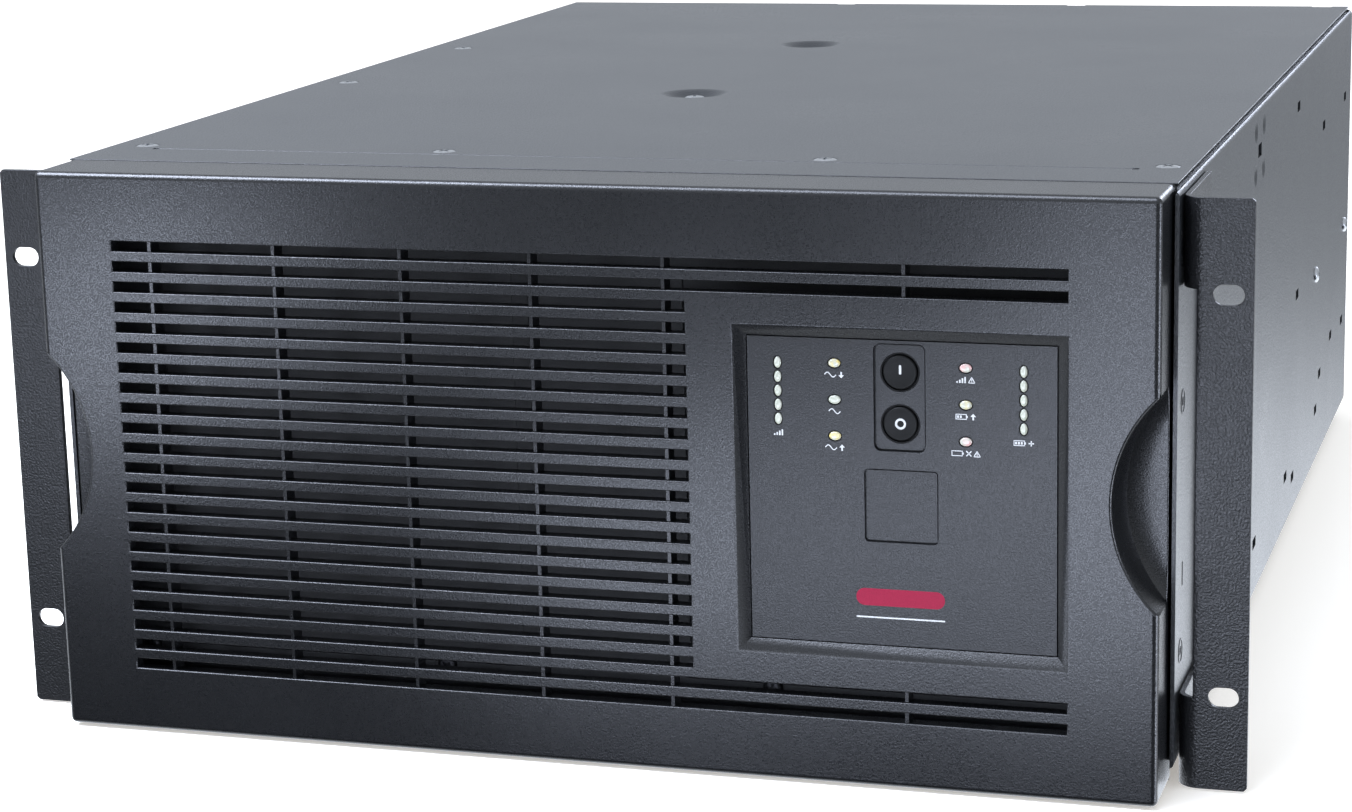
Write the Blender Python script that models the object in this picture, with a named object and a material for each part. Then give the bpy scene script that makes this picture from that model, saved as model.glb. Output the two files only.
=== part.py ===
"""A five-unit rack-mount uninterruptible power supply, built as separate named solids.

Metres, +Z up, front facing -Y.  The origin is on the surface the unit stands on, under the
centre of its box.  Sizes in this file are in millimetres and are scaled once, in solid().
A shape is (axis, levels): outlines of equal length stacked along an axis and skinned.
"""
import math

import bmesh
import bpy

MM = 0.001
GAP = 0.3

# Envelope: a 19-inch rack unit, five units high
DEPTH = 660.0
FRONT = -DEPTH / 2
BACK = DEPTH / 2
RACK_WIDTH = 482.6
SLOT_SPACING = 146.05

# Sheet-metal case
CASE_WIDTH = 431.3
CASE_HALF = CASE_WIDTH / 2
CASE_BOTTOM = 8.6
CASE_TOP = 219.3
SHEET = 1.5
COVER_SHEET = 1.2
FLOOR_TOP = CASE_BOTTOM + SHEET
FLANGE_TOP = CASE_TOP - COVER_SHEET - GAP
FLANGE_WIDTH = 15.0
BEND = 2.0
SIDE_FRONT = FRONT + 22.0
FACE = FRONT + 31.3
SEAM = FRONT + 61.8
REAR = FRONT + 636.8
REAR_INSIDE = REAR - SHEET
INSIDE_HALF = CASE_HALF - SHEET - GAP

# Rack ears
EAR_FRONT = FRONT + 25.7
EAR_SHEET = 2.0
EAR_BOTTOM = 0.6
EAR_TOP = 215.4
EAR_BACK = FRONT + 85.6
EAR_INNER = CASE_HALF + GAP
EAR_BEND = 8.0
SLOT_X = 232.5
SLOT_CENTRE_Z = 108.3
SLOT_SIZE = (10.9, 7.4)
WINDOW_X = 221.5
WINDOW_Z = (34.5, 183.0)
WINDOW_BACK = FRONT + 70.0

# Bezel
BEZEL_HALF = 213.05
BEZEL_BOTTOM = 1.0
BEZEL_TOP = 218.2
BEZEL_DEPTH = 30.7
BEZEL_WALL = 2.6
BEZEL_PLATE = 5.4
BEZEL_ROUND = 2.4
LOUVRE_ROWS = 22
LOUVRE_FULL_ROWS = (0, 1, 20, 21)
LOUVRE_PITCH = 7.79
LOUVRE_HEIGHT = 3.9
LOUVRE_TOP = 193.3
LOUVRE_LEFT = -182.2
LOUVRE_SHORT_RIGHT = 42.9
LOUVRE_FULL_RIGHT = 180.9
RIB_FIRST = -166.9
RIB_STEP = 50.4
RIB_COUNT = 5
RIB_SINGLE = 122.8
RIB_WIDTH = 1.3
RIB_INSET = 1.1
RIB_DEPTH = 3.0
GRIP_Z = 110.6
GRIP_HALF = 39.0
GRIP_REACH = 17.0
GRIP_FLOOR_REACH = 14.5
GRIP_DEPTH = 20.0

# Display insert, a square that turns a quarter turn for upright use
PANEL_X = 120.85
PANEL_Z = 109.7
PANEL_RECESS = 120.0
PANEL_HOLE = 112.6
PANEL_SIZE = 111.8
PANEL_SET_BACK = 3.4
PANEL_PLATE = 2.5
PANEL_BACK = FRONT + 20.0
PAD_Z = 144.95
PAD_SIZE = (18.8, 39.0)
PAD_DEPTH = 0.8
BUTTON_X = 120.5
TEST_Z = 154.0
OFF_Z = 135.3
BUTTON_HOLE = 7.15
BUTTON_CAP = 6.2
BUTTON_FLANGE = 8.2
BUTTON_TRAVEL = 1.5
BAR_X = (76.1, 164.9)
BAR_TOP_Z = 156.2
BAR_PITCH = 5.13
BAR_LENS = (2.6, 4.2)
STATUS_X = (96.9, 144.3)
STATUS_Z = (156.7, 143.45, 130.2)
STATUS_LENS = (4.4, 3.2)
LENS_GAP = 0.3
LABEL_SIZE = 26.9
LABEL_Z = 105.4
LABEL_DEPTH = 0.5
BOARD_FRONT = FRONT + 12.0
BOARD_SHEET = 1.6

# Batteries and their bays
BULKHEAD = 45.0
BAY_X = 105.0
TRAY_HALF = 97.0
TRAY_FRONT = FRONT + 41.0
TRAY_BACK = 27.0
TRAY_SHEET = 1.2
PACK_HALF = 92.5
PACK_TOP = 184.0
PACK_BACK = 25.0
DOOR_Z = (17.0, 208.0)
DOOR_HALF = 206.0

# Rear fittings: centres on the rear panel as (x, z)
FAN_SIZE = 80.0
FAN_DEPTH = 25.0
FAN_PLACES = ((-160.0, 165.0), (-70.0, 165.0))
FAN_BORE = 38.0
OUTLET_PLACES = ((-115.0, 92.0), (-115.0, 48.0))
OUTLET_COUNT = 4
OUTLET_PITCH = 36.0
LARGE_OUTLET_PLACES = ((4.0, 92.0), (4.0, 48.0))
BREAKER_PLACES = ((52.0, 92.0), (52.0, 48.0))
SLOT_COVER_PLACE = (125.0, 192.0)
SERIAL_PLACE = (18.0, 192.0)
EXPANSION_PLACE = (125.0, 150.0)
GROUND_PLACE = (52.0, 150.0)
COVER_X = (95.0, 195.0)
COVER_Z = (44.0, 120.0)
GLAND_X = 145.0

PAINTS = {
    "bezel_plastic": ((0.046, 0.050, 0.058), 0.45, 0.0),
    "panel_plastic": ((0.050, 0.054, 0.062), 0.45, 0.0),
    "button_rubber": ((0.035, 0.038, 0.042), 0.60, 0.0),
    "light_lens": ((0.80, 0.86, 0.78), 0.25, 0.0),
    "ear_powder": ((0.030, 0.032, 0.037), 0.60, 0.0),
    "case_paint": ((0.150, 0.165, 0.190), 0.40, 0.0),
    "inner_steel": ((0.45, 0.46, 0.47), 0.35, 1.0),
    "foot_rubber": ((0.020, 0.020, 0.021), 0.85, 0.0),
    "circuit_board": ((0.015, 0.110, 0.045), 0.50, 0.0),
    "black_plastic": ((0.022, 0.022, 0.024), 0.50, 0.0),
    "heat_sink_aluminium": ((0.60, 0.61, 0.62), 0.40, 1.0),
    "core_steel": ((0.20, 0.20, 0.21), 0.55, 1.0),
    "winding_tape": ((0.55, 0.38, 0.10), 0.55, 0.0),
    "bright_steel": ((0.62, 0.62, 0.63), 0.25, 1.0),
    "brass_stud": ((0.70, 0.52, 0.22), 0.30, 1.0),
    "battery_case": ((0.060, 0.062, 0.066), 0.55, 0.0),
    "strap_webbing": ((0.040, 0.040, 0.042), 0.80, 0.0),
    "connector_grey": ((0.24, 0.24, 0.25), 0.50, 0.0),
}


# Outlines ---------------------------------------------------------------------------------

def rect(a0, a1, b0, b1):
    return [(a0, b0), (a1, b0), (a1, b1), (a0, b1)]


def centred(a, b, width, height):
    return rect(a - width / 2, a + width / 2, b - height / 2, b + height / 2)


def circle(a, b, radius, sides=16):
    turn = 2 * math.pi / sides
    return [(a + radius * math.cos(turn * (k + 0.5)), b + radius * math.sin(turn * (k + 0.5)))
            for k in range(sides)]


def fillet(points, radii, steps=3):
    """Round each corner of a closed outline with an arc of its own radius."""
    result = []
    count = len(points)
    for index, (px, py) in enumerate(points):
        radius = radii[index]
        if radius == 0:
            result.append((px, py))
            continue
        ax, ay = points[index - 1]
        bx, by = points[(index + 1) % count]
        ua = math.atan2(ay - py, ax - px)
        ub = math.atan2(by - py, bx - px)
        half = abs(math.remainder(ub - ua, 2 * math.pi)) / 2
        bisector = ua + math.remainder(ub - ua, 2 * math.pi) / 2
        cx = px + math.cos(bisector) * radius / math.sin(half)
        cy = py + math.sin(bisector) * radius / math.sin(half)
        tangent = radius / math.tan(half)
        start = math.atan2(py + math.sin(ua) * tangent - cy, px + math.cos(ua) * tangent - cx)
        end = math.atan2(py + math.sin(ub) * tangent - cy, px + math.cos(ub) * tangent - cx)
        sweep = math.remainder(end - start, 2 * math.pi)
        for k in range(steps + 1):
            angle = start + sweep * k / steps
            result.append((cx + radius * math.cos(angle), cy + radius * math.sin(angle)))
    return result


def rounded(a, b, width, height, radius, steps=3):
    return fillet(centred(a, b, width, height), [radius] * 4, steps)


def lens(a, b, size, grow=0.0):
    """An indicator's oval outline, wider or taller as its size says."""
    sides = 10
    turn = 2 * math.pi / sides
    half_a = size[0] / 2 + grow
    half_b = size[1] / 2 + grow
    return [(a + half_a * math.cos(turn * k), b + half_b * math.sin(turn * k))
            for k in range(sides)]


def grip(side, half, reach, clip):
    """The finger grip's outline: a bow that bites in from the bezel's side, cut off at clip."""
    steps = 12
    radius = (half ** 2 + reach ** 2) / (2 * reach)
    centre = BEZEL_HALF - reach + radius
    spread = math.acos((centre - clip) / radius)
    angles = [spread * (2 * k / steps - 1) for k in range(steps + 1)]
    return [(side * (centre - radius * math.cos(angle)), GRIP_Z + radius * math.sin(angle))
            for angle in angles]


def socket(a, b, width, height, cut):
    """A mains outlet's outline: a rectangle with its two upper corners cut off."""
    return [(a - width / 2, b - height / 2), (a + width / 2, b - height / 2),
            (a + width / 2, b + height / 2 - cut), (a + width / 2 - cut, b + height / 2),
            (a - width / 2 + cut, b + height / 2), (a - width / 2, b + height / 2 - cut)]


# Solids -----------------------------------------------------------------------------------

def prism(axis, outline, low, high):
    return axis, [(low, outline), (high, outline)]


def block(x, y, z):
    return prism("Z", rect(x[0], x[1], y[0], y[1]), z[0], z[1])


def turned(axis, a, b, profile, sides=16):
    """A round piece about an axis through (a, b), from (position, radius) steps."""
    return axis, [(position, circle(a, b, radius, sides)) for position, radius in profile]


def place(axis, a, b, position):
    if axis == "X":
        return (position * MM, a * MM, b * MM)
    if axis == "Y":
        return (a * MM, position * MM, b * MM)
    return (a * MM, b * MM, position * MM)


def solid(name, shapes):
    """One object holding the skinned and capped stack of outlines of each shape."""
    bm = bmesh.new()
    for axis, levels in shapes:
        rings = [[bm.verts.new(place(axis, a, b, position)) for a, b in outline]
                 for position, outline in levels]
        for lower, upper in zip(rings, rings[1:]):
            count = len(lower)
            for k in range(count):
                following = (k + 1) % count
                bm.faces.new((lower[k], lower[following], upper[following], upper[k]))
        bm.faces.new(list(reversed(rings[0])))
        bm.faces.new(rings[-1])
    bmesh.ops.recalc_face_normals(bm, faces=bm.faces)
    mesh = bpy.data.meshes.new(name)
    bm.to_mesh(mesh)
    bm.free()
    thing = bpy.data.objects.new(name, mesh)
    bpy.context.scene.collection.objects.link(thing)
    return thing


def boolean(target, shapes, operation):
    tool = solid(f"tool_{operation.lower()}_{target.name}_{len(target.modifiers)}", shapes)
    tool.hide_render = True
    tool.display_type = "WIRE"
    tool.hide_set(True)
    modifier = target.modifiers.new(operation.title(), "BOOLEAN")
    modifier.operation = operation
    modifier.solver = "EXACT"
    modifier.object = tool


def carve(target, *shapes):
    boolean(target, shapes, "DIFFERENCE")


def merge(target, *shapes):
    boolean(target, shapes, "UNION")


def make_paints():
    made = {}
    for name, (colour, roughness, metallic) in PAINTS.items():
        material = bpy.data.materials.new(name)
        material.use_nodes = True
        shader = material.node_tree.nodes["Principled BSDF"]
        shader.inputs["Base Color"].default_value = (*colour, 1.0)
        shader.inputs["Roughness"].default_value = roughness
        shader.inputs["Metallic"].default_value = metallic
        made[name] = material
    return made


def piece(name, paint, *shapes, pivot=None):
    """A finished sub-part: its mesh, its material, and the pivot it moves with."""
    thing = solid(name, shapes)
    thing.data.materials.append(bpy.data.materials[paint])
    thing.data.shade_smooth()
    thing.data.set_sharp_from_angle(angle=math.radians(35))
    if pivot is not None:
        thing.parent = pivot
        thing.matrix_parent_inverse = pivot.matrix_world.inverted()
    return thing


def make_pivot(name, x, y, z, parent=None):
    pivot = bpy.data.objects.new(name, None)
    pivot.empty_display_size = 0.02
    bpy.context.scene.collection.objects.link(pivot)
    pivot.location = (x * MM, y * MM, z * MM)
    bpy.context.view_layer.update()
    if parent is not None:
        pivot.parent = parent
        pivot.matrix_parent_inverse = parent.matrix_world.inverted()
        bpy.context.view_layer.update()
    return pivot


# Case -------------------------------------------------------------------------------------

def make_base_pan():
    """Floor, sides and in-turned top flanges folded from one sheet."""
    tip = CASE_HALF - FLANGE_WIDTH
    inner = CASE_HALF - SHEET
    outer_path = [(-tip, FLANGE_TOP), (-CASE_HALF, FLANGE_TOP), (-CASE_HALF, CASE_BOTTOM),
                  (CASE_HALF, CASE_BOTTOM), (CASE_HALF, FLANGE_TOP), (tip, FLANGE_TOP)]
    inner_path = [(tip, FLANGE_TOP - SHEET), (inner, FLANGE_TOP - SHEET), (inner, FLOOR_TOP),
                  (-inner, FLOOR_TOP), (-inner, FLANGE_TOP - SHEET), (-tip, FLANGE_TOP - SHEET)]
    radii = [0, BEND, BEND, BEND, BEND, 0] + [0, BEND - SHEET, BEND - SHEET, BEND - SHEET,
                                              BEND - SHEET, 0]
    section = fillet(outer_path + inner_path, radii, steps=2)
    pan = piece("base_pan", "case_paint", prism("Y", section, SIDE_FRONT, REAR_INSIDE - GAP))
    carve(pan, block((-inner, inner), (SIDE_FRONT - 1, FACE), (0, CASE_TOP + 1)))
    posts = [turned("Z", x, y, [(FLOOR_TOP - 0.5, 4), (19.7, 4)], sides=8)
             for x in (-195, 10) for y in (70, 260)]
    merge(pan, *posts)


def make_top_cover():
    half = CASE_HALF - 1.0
    bottom = CASE_TOP - COVER_SHEET
    cover = piece("top_cover", "case_paint", block((-half, half), (SEAM + 0.4, REAR),
                                                   (bottom, CASE_TOP)))
    dishes = ((-28.0, FRONT + 251.5), (-26.0, FRONT + 441.5))
    merge(cover, *[turned("Z", x, y, [(bottom - 2.2, 11.5), (bottom + 0.4, 17.0)])
                   for x, y in dishes])
    carve(cover, *[turned("Z", x, y, [(bottom - 1.1, 9.5), (CASE_TOP, 15.0), (CASE_TOP + 1, 15.0)])
                   for x, y in dishes])


def make_front_frame():
    """The face the bezel clips to, with both battery openings and a strip of the roof."""
    half = INSIDE_HALF
    frame = piece("front_frame", "case_paint",
                  block((-half, half), (FACE, FACE + SHEET), (FLOOR_TOP + GAP, CASE_TOP - 0.6)))
    merge(frame, block((1.0 - CASE_HALF, CASE_HALF - 1.0), (FACE, SEAM),
                       (CASE_TOP - COVER_SHEET, CASE_TOP)))
    openings = [block((side * BAY_X - 101, side * BAY_X + 101), (FACE - 1, FACE + SHEET + 1),
                      (FLOOR_TOP - 2, 200)) for side in (-1, 1)]
    hooks = [block((x - 9, x + 9), (FACE - 1, FACE + SHEET + 1), (209.6, 214.0))
             for x in (-150, 150)]
    corners = [block((side * (half + 1) - 15, side * (half + 1) + 15),
                     (FACE - 1, FACE + SHEET + 1), (FLANGE_TOP - SHEET - GAP, FLANGE_TOP + 0.05))
               for side in (-1, 1)]
    carve(frame, *openings, *hooks, *corners)


def make_bulkhead():
    plate = piece("bulkhead", "inner_steel",
                  block((-INSIDE_HALF, INSIDE_HALF), (BULKHEAD, BULKHEAD + SHEET),
                        (FLOOR_TOP + GAP, FLANGE_TOP - SHEET - GAP)))
    vents = [block((x - 30, x + 30), (BULKHEAD - 1, BULKHEAD + SHEET + 1), (195, 207))
             for x in (-150, -50, 50, 150)]
    carve(plate, *vents)
    piece("bay_divider", "inner_steel",
          block((-SHEET / 2, SHEET / 2), (FACE + SHEET + GAP, BULKHEAD - GAP),
                (FLOOR_TOP + GAP, FLANGE_TOP - SHEET - GAP)))


def make_feet():
    for name, x, y in (("foot_front_left", -180, -250), ("foot_front_right", 180, -250),
                       ("foot_rear_left", -180, 265), ("foot_rear_right", 180, 265)):
        piece(name, "foot_rubber",
              turned("Z", x, y, [(0, 10.5), (1.2, 11.5), (CASE_BOTTOM - GAP, 12.5)]))


def make_ear(name, side):
    outer = RACK_WIDTH / 2
    back = EAR_FRONT + EAR_SHEET
    path = [(outer, EAR_FRONT), (EAR_INNER, EAR_FRONT), (EAR_INNER, EAR_BACK),
            (EAR_INNER + EAR_SHEET, EAR_BACK), (EAR_INNER + EAR_SHEET, back), (outer, back)]
    section = fillet(path, [0, EAR_BEND, 0, 0, EAR_BEND - EAR_SHEET, 0], steps=4)
    section = [(side * x, y) for x, y in section]
    ear = piece(name, "ear_powder", prism("Z", section, EAR_BOTTOM, EAR_TOP))
    holes = [prism("Y", rounded(side * SLOT_X, SLOT_CENTRE_Z + dz, *SLOT_SIZE, SLOT_SIZE[1] / 2 - 0.1),
                   EAR_FRONT - 1, back + 1) for dz in (-SLOT_SPACING / 2, SLOT_SPACING / 2)]
    near = sorted((side * (EAR_INNER - 0.15), side * WINDOW_X))
    window = block(near, (EAR_FRONT - 1, WINDOW_BACK), WINDOW_Z)
    chamfer = 2.0
    tip = side * (outer + 1)
    snips = []
    for corner_z, inward in ((EAR_TOP + 1, -1), (EAR_BOTTOM - 1, 1)):
        triangle = [(tip, corner_z), (tip - side * (chamfer + 2), corner_z),
                    (tip, corner_z + inward * (chamfer + 2))]
        snips.append(prism("Y", triangle, EAR_FRONT - 1, back + 1))
    carve(ear, window, *holes, *snips)


# Bezel and display ------------------------------------------------------------------------

def louvre_slots():
    slots = []
    for row in range(LOUVRE_ROWS):
        top = LOUVRE_TOP - row * LOUVRE_PITCH
        right = LOUVRE_FULL_RIGHT if row in LOUVRE_FULL_ROWS else LOUVRE_SHORT_RIGHT
        slots.append(block((LOUVRE_LEFT, right), (FRONT - 1, FRONT + BEZEL_PLATE + 1),
                           (top - LOUVRE_HEIGHT, top)))
    return slots


def louvre_ribs():
    front = FRONT + RIB_INSET
    back = FRONT + BEZEL_PLATE + RIB_DEPTH
    low = LOUVRE_TOP - (LOUVRE_ROWS - 1) * LOUVRE_PITCH - LOUVRE_HEIGHT - 3
    high = LOUVRE_TOP + 3
    half = RIB_WIDTH / 2
    ribs = [block((RIB_FIRST + k * RIB_STEP - half, RIB_FIRST + k * RIB_STEP + half),
                  (front, back), (low, high)) for k in range(RIB_COUNT)]
    panel_top = PANEL_Z + PANEL_RECESS / 2
    panel_bottom = PANEL_Z - PANEL_RECESS / 2
    for z in ((low, panel_bottom - 5), (panel_top + 1.5, high)):
        ribs.append(block((RIB_SINGLE - half, RIB_SINGLE + half), (front, back), z))
    return ribs


def make_bezel(pivot):
    height = BEZEL_TOP - BEZEL_BOTTOM
    middle = (BEZEL_TOP + BEZEL_BOTTOM) / 2
    width = 2 * BEZEL_HALF
    face = rounded(0, middle, width - 2 * BEZEL_ROUND, height - 2 * BEZEL_ROUND, 0.6)
    mid = rounded(0, middle, width - 0.6 * BEZEL_ROUND, height - 0.6 * BEZEL_ROUND, 2.0)
    edge = rounded(0, middle, width, height, BEZEL_ROUND)
    back = FRONT + BEZEL_DEPTH
    shell = "Y", [(FRONT, face), (FRONT + 0.3 * BEZEL_ROUND, mid), (FRONT + BEZEL_ROUND, edge),
                  (back, edge)]
    bezel = piece("bezel", "bezel_plastic", shell, pivot=pivot)
    inner_half = BEZEL_HALF - BEZEL_WALL
    low = BEZEL_BOTTOM + BEZEL_WALL
    high = BEZEL_TOP - BEZEL_WALL
    carve(bezel, block((-inner_half, inner_half), (FRONT + BEZEL_PLATE, back + 1), (low, high)))
    merge(bezel, *[prism("Y", grip(side, GRIP_HALF + 2.4, GRIP_REACH + 2.4, BEZEL_HALF - 0.4),
                         FRONT + 1, FRONT + GRIP_DEPTH + 2) for side in (-1, 1)])
    grips = [("Y", [(FRONT - 1, grip(side, GRIP_HALF, GRIP_REACH, BEZEL_HALF + 5)),
                    (FRONT + GRIP_DEPTH, grip(side, GRIP_HALF, GRIP_FLOOR_REACH, BEZEL_HALF + 5))])
             for side in (-1, 1)]
    carve(bezel, *grips)
    wall = (PANEL_SIZE + 7.0) / 2
    merge(bezel, block((PANEL_X - wall, PANEL_X + wall), (FRONT + 2, PANEL_BACK - 1),
                       (PANEL_Z - wall, PANEL_Z + wall)))
    recess = "Y", [(FRONT - 0.5, centred(PANEL_X, PANEL_Z, PANEL_RECESS + 1.0, PANEL_RECESS + 1.0)),
                   (FRONT + PANEL_SET_BACK, centred(PANEL_X, PANEL_Z, PANEL_HOLE, PANEL_HOLE)),
                   (back, centred(PANEL_X, PANEL_Z, PANEL_HOLE, PANEL_HOLE))]
    carve(bezel, recess, *louvre_slots())
    merge(bezel, *louvre_ribs())
    merge(bezel, *[block((x - 7, x + 7), (FACE - 12, FACE - 1.2), (210.6, high + 0.6))
                   for x in (-150, 150)])
    merge(bezel, *[block((x - 6, x + 6), (FACE - 2, FACE + 8), (210.9, 212.8))
                   for x in (-150, 150)])


def bar_lens_places(x):
    return [(x, BAR_TOP_Z - k * BAR_PITCH) for k in range(5)]


def status_lens_places(x):
    return [(x, z) for z in STATUS_Z]


def make_display_panel(pivot):
    face = FRONT + PANEL_SET_BACK
    panel = piece("display_panel", "panel_plastic",
                  prism("Y", centred(PANEL_X, PANEL_Z, PANEL_SIZE, PANEL_SIZE), face, PANEL_BACK),
                  pivot=pivot)
    cavity = PANEL_SIZE - 5.0
    plate_back = face + PANEL_PLATE
    carve(panel, prism("Y", centred(PANEL_X, PANEL_Z, cavity, cavity), plate_back, BACK))
    posts = [turned("Y", PANEL_X + dx, PANEL_Z + dz, [(plate_back - 0.5, 3), (BOARD_FRONT - GAP, 3)],
                    sides=8) for dx in (-36, 36) for dz in (-46, 46)]
    merge(panel, *posts)
    carve(panel,
          prism("Y", rounded(BUTTON_X, PAD_Z, *PAD_SIZE, 2.5), face - 1, face + PAD_DEPTH),
          prism("Y", rounded(PANEL_X, LABEL_Z, LABEL_SIZE, LABEL_SIZE, 1.8), face - 1,
                face + LABEL_DEPTH))
    holes = [prism("Y", circle(BUTTON_X, z, BUTTON_HOLE, 20), face - 1, plate_back + 1)
             for z in (TEST_Z, OFF_Z)]
    for x in BAR_X:
        holes += [prism("Y", lens(*spot, BAR_LENS, LENS_GAP), face - 1, plate_back + 1)
                  for spot in bar_lens_places(x)]
    for x in STATUS_X:
        holes += [prism("Y", lens(*spot, STATUS_LENS, LENS_GAP), face - 1, plate_back + 1)
                  for spot in status_lens_places(x)]
    carve(panel, *holes)


def make_light_pipe(name, places, size, pivot):
    """Indicator lenses moulded in one with the bar that gathers their light."""
    front = FRONT + PANEL_SET_BACK - 0.2
    bar_front = FRONT + 8.5
    x = places[0][0]
    high = places[0][1] + size[1] / 2 + 1
    low = places[-1][1] - size[1] / 2 - 1
    pipe = piece(name, "light_lens",
                 block((x - size[0] / 2 - 1, x + size[0] / 2 + 1), (bar_front, BOARD_FRONT - 1),
                       (low, high)), pivot=pivot)
    merge(pipe, *[prism("Y", lens(*spot, size), front, bar_front + 0.8) for spot in places])


def make_display_board(pivot):
    piece("display_board", "circuit_board",
          prism("Y", centred(PANEL_X, PANEL_Z, 100, 100), BOARD_FRONT, BOARD_FRONT + BOARD_SHEET),
          pivot=pivot)
    for name, z in (("test_switch", TEST_Z), ("off_switch", OFF_Z)):
        piece(name, "black_plastic",
              prism("Y", centred(BUTTON_X, z, 6, 6), BOARD_FRONT - GAP - 2.3, BOARD_FRONT - GAP),
              pivot=pivot)


def make_button(name, z, pivot):
    cap_front = FRONT + PANEL_SET_BACK + PAD_DEPTH + 0.2
    flange = FRONT + PANEL_SET_BACK + PANEL_PLATE + 0.5
    stem_back = BOARD_FRONT - 2 * GAP - 2.3 - BUTTON_TRAVEL
    piece(name, "button_rubber",
          turned("Y", BUTTON_X, z, [(cap_front, BUTTON_CAP - 0.5), (cap_front + 0.3, BUTTON_CAP),
                                    (flange, BUTTON_CAP), (flange, BUTTON_FLANGE),
                                    (flange + 0.8, BUTTON_FLANGE), (flange + 0.8, 2.2),
                                    (stem_back, 2.2)], sides=20), pivot=pivot)


# Batteries --------------------------------------------------------------------------------

def make_battery_door(pivot):
    door = piece("battery_door", "case_paint",
                 block((-DOOR_HALF, DOOR_HALF), (FACE - GAP - 1.2, FACE - GAP), DOOR_Z),
                 pivot=pivot)
    merge(door, block((-DOOR_HALF + 6, DOOR_HALF - 6), (FACE - GAP - 3.2, FACE - GAP - 1.0),
                      (DOOR_Z[0], DOOR_Z[0] + 1.5)),
          block((-DOOR_HALF + 6, DOOR_HALF - 6), (FACE - GAP - 3.2, FACE - GAP - 1.0),
                (DOOR_Z[1] - 1.5, DOOR_Z[1])))


def make_battery_module(tag, side, pivot):
    x = side * BAY_X
    floor = FLOOR_TOP + GAP
    profile = [(TRAY_FRONT, floor), (TRAY_BACK, floor), (TRAY_BACK, 60),
               (TRAY_BACK - TRAY_SHEET, 60), (TRAY_BACK - TRAY_SHEET, floor + TRAY_SHEET),
               (TRAY_FRONT + TRAY_SHEET, floor + TRAY_SHEET), (TRAY_FRONT + TRAY_SHEET, 150),
               (TRAY_FRONT, 150)]
    piece(f"battery_tray_{tag}", "inner_steel",
          prism("X", profile, x - TRAY_HALF, x + TRAY_HALF), pivot=pivot)
    pack_front = TRAY_FRONT + TRAY_SHEET + GAP
    pack_low = floor + TRAY_SHEET + GAP
    corner = rounded(x, (pack_front + PACK_BACK) / 2, 2 * PACK_HALF, PACK_BACK - pack_front, 3.0, 1)
    pack = piece(f"battery_pack_{tag}", "battery_case",
                 prism("Z", corner, pack_low, PACK_TOP), pivot=pivot)
    pitch = (PACK_BACK - pack_front) / 4
    carve(pack, *[block((x - PACK_HALF - 1, x + PACK_HALF + 1),
                        (pack_front + k * pitch - 0.5, pack_front + k * pitch + 0.5),
                        (PACK_TOP - 150, PACK_TOP + 1)) for k in (1, 2, 3)])
    strap_back = TRAY_FRONT - GAP
    strap = [(-55, strap_back), (-55, strap_back - 1.5), (-42, strap_back - 1.5), (-36, strap_back - 4.5),
             (36, strap_back - 4.5), (42, strap_back - 1.5), (55, strap_back - 1.5), (55, strap_back),
             (41, strap_back), (35, strap_back - 3.0), (-35, strap_back - 3.0), (-41, strap_back)]
    piece(f"battery_strap_{tag}", "strap_webbing",
          prism("Z", [(x + a, b) for a, b in strap], 92, 117), pivot=pivot)
    piece(f"bay_connector_{tag}", "connector_grey",
          block((x - 30, x + 30), (TRAY_BACK + 1, BULKHEAD - GAP), (80, 112)))


# Power electronics ------------------------------------------------------------------------

def make_board():
    board_z = 20.0
    piece("main_board", "circuit_board", block((-205, 20), (60, 270), (board_z, board_z + 1.6)))
    foot = board_z + 1.6 + GAP
    for tag, x in (("left", -160), ("right", -75)):
        make_heat_sink(f"heat_sink_{tag}", x, foot)
    for tag, y in (("front", 85), ("middle", 135), ("rear", 185)):
        piece(f"capacitor_{tag}", "black_plastic",
              turned("Z", -8, y, [(foot, 17.5), (foot + 62, 17.5), (foot + 65, 16.0)], sides=16))


def make_heat_sink(name, x, foot):
    fins = 7
    width = 70.0
    fin = 2.0
    pitch = (width - fin) / (fins - 1)
    left = x - width / 2
    outline = [(left, foot), (left + width, foot)]
    for k in reversed(range(fins)):
        right_side = left + k * pitch + fin
        outline += [(right_side, foot + 85), (right_side - fin, foot + 85)]
        if k:
            outline += [(right_side - fin, foot + 6), (left + (k - 1) * pitch + fin, foot + 6)]
    piece(name, "heat_sink_aluminium", prism("Y", outline, 85, 245))


def make_transformer():
    """Laminated core with two windows, and the coil round its middle leg."""
    x = 120.0
    core_x = (x - 78, x + 78)
    core_y = (95.0, 205.0)
    core_z = (FLOOR_TOP + GAP, 152.0)
    leg = 26.0
    core = piece("transformer_core", "core_steel", block(core_x, core_y, core_z))
    windows = [block(span, (core_y[0] - 1, core_y[1] + 1), (core_z[0] + 26, core_z[1] - 26))
               for span in ((core_x[0] + 26, x - leg), (x + leg, core_x[1] - 26))]
    carve(core, *windows)
    coil_z = (core_z[0] + 26 + GAP, core_z[1] - 26 - GAP)
    reach = 78 - 26 - GAP
    bulge = 24.0
    outer = fillet(rect(x - reach, x + reach, core_y[0] - bulge, core_y[1] + bulge), [12] * 4, 3)
    coil = piece("transformer_coil", "winding_tape", prism("Z", outer, *coil_z))
    carve(coil, block((x - leg - GAP, x + leg + GAP), (core_y[0] - GAP, core_y[1] + GAP),
                      (coil_z[0] - 1, coil_z[1] + 1)))


# Rear fittings ----------------------------------------------------------------------------

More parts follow.
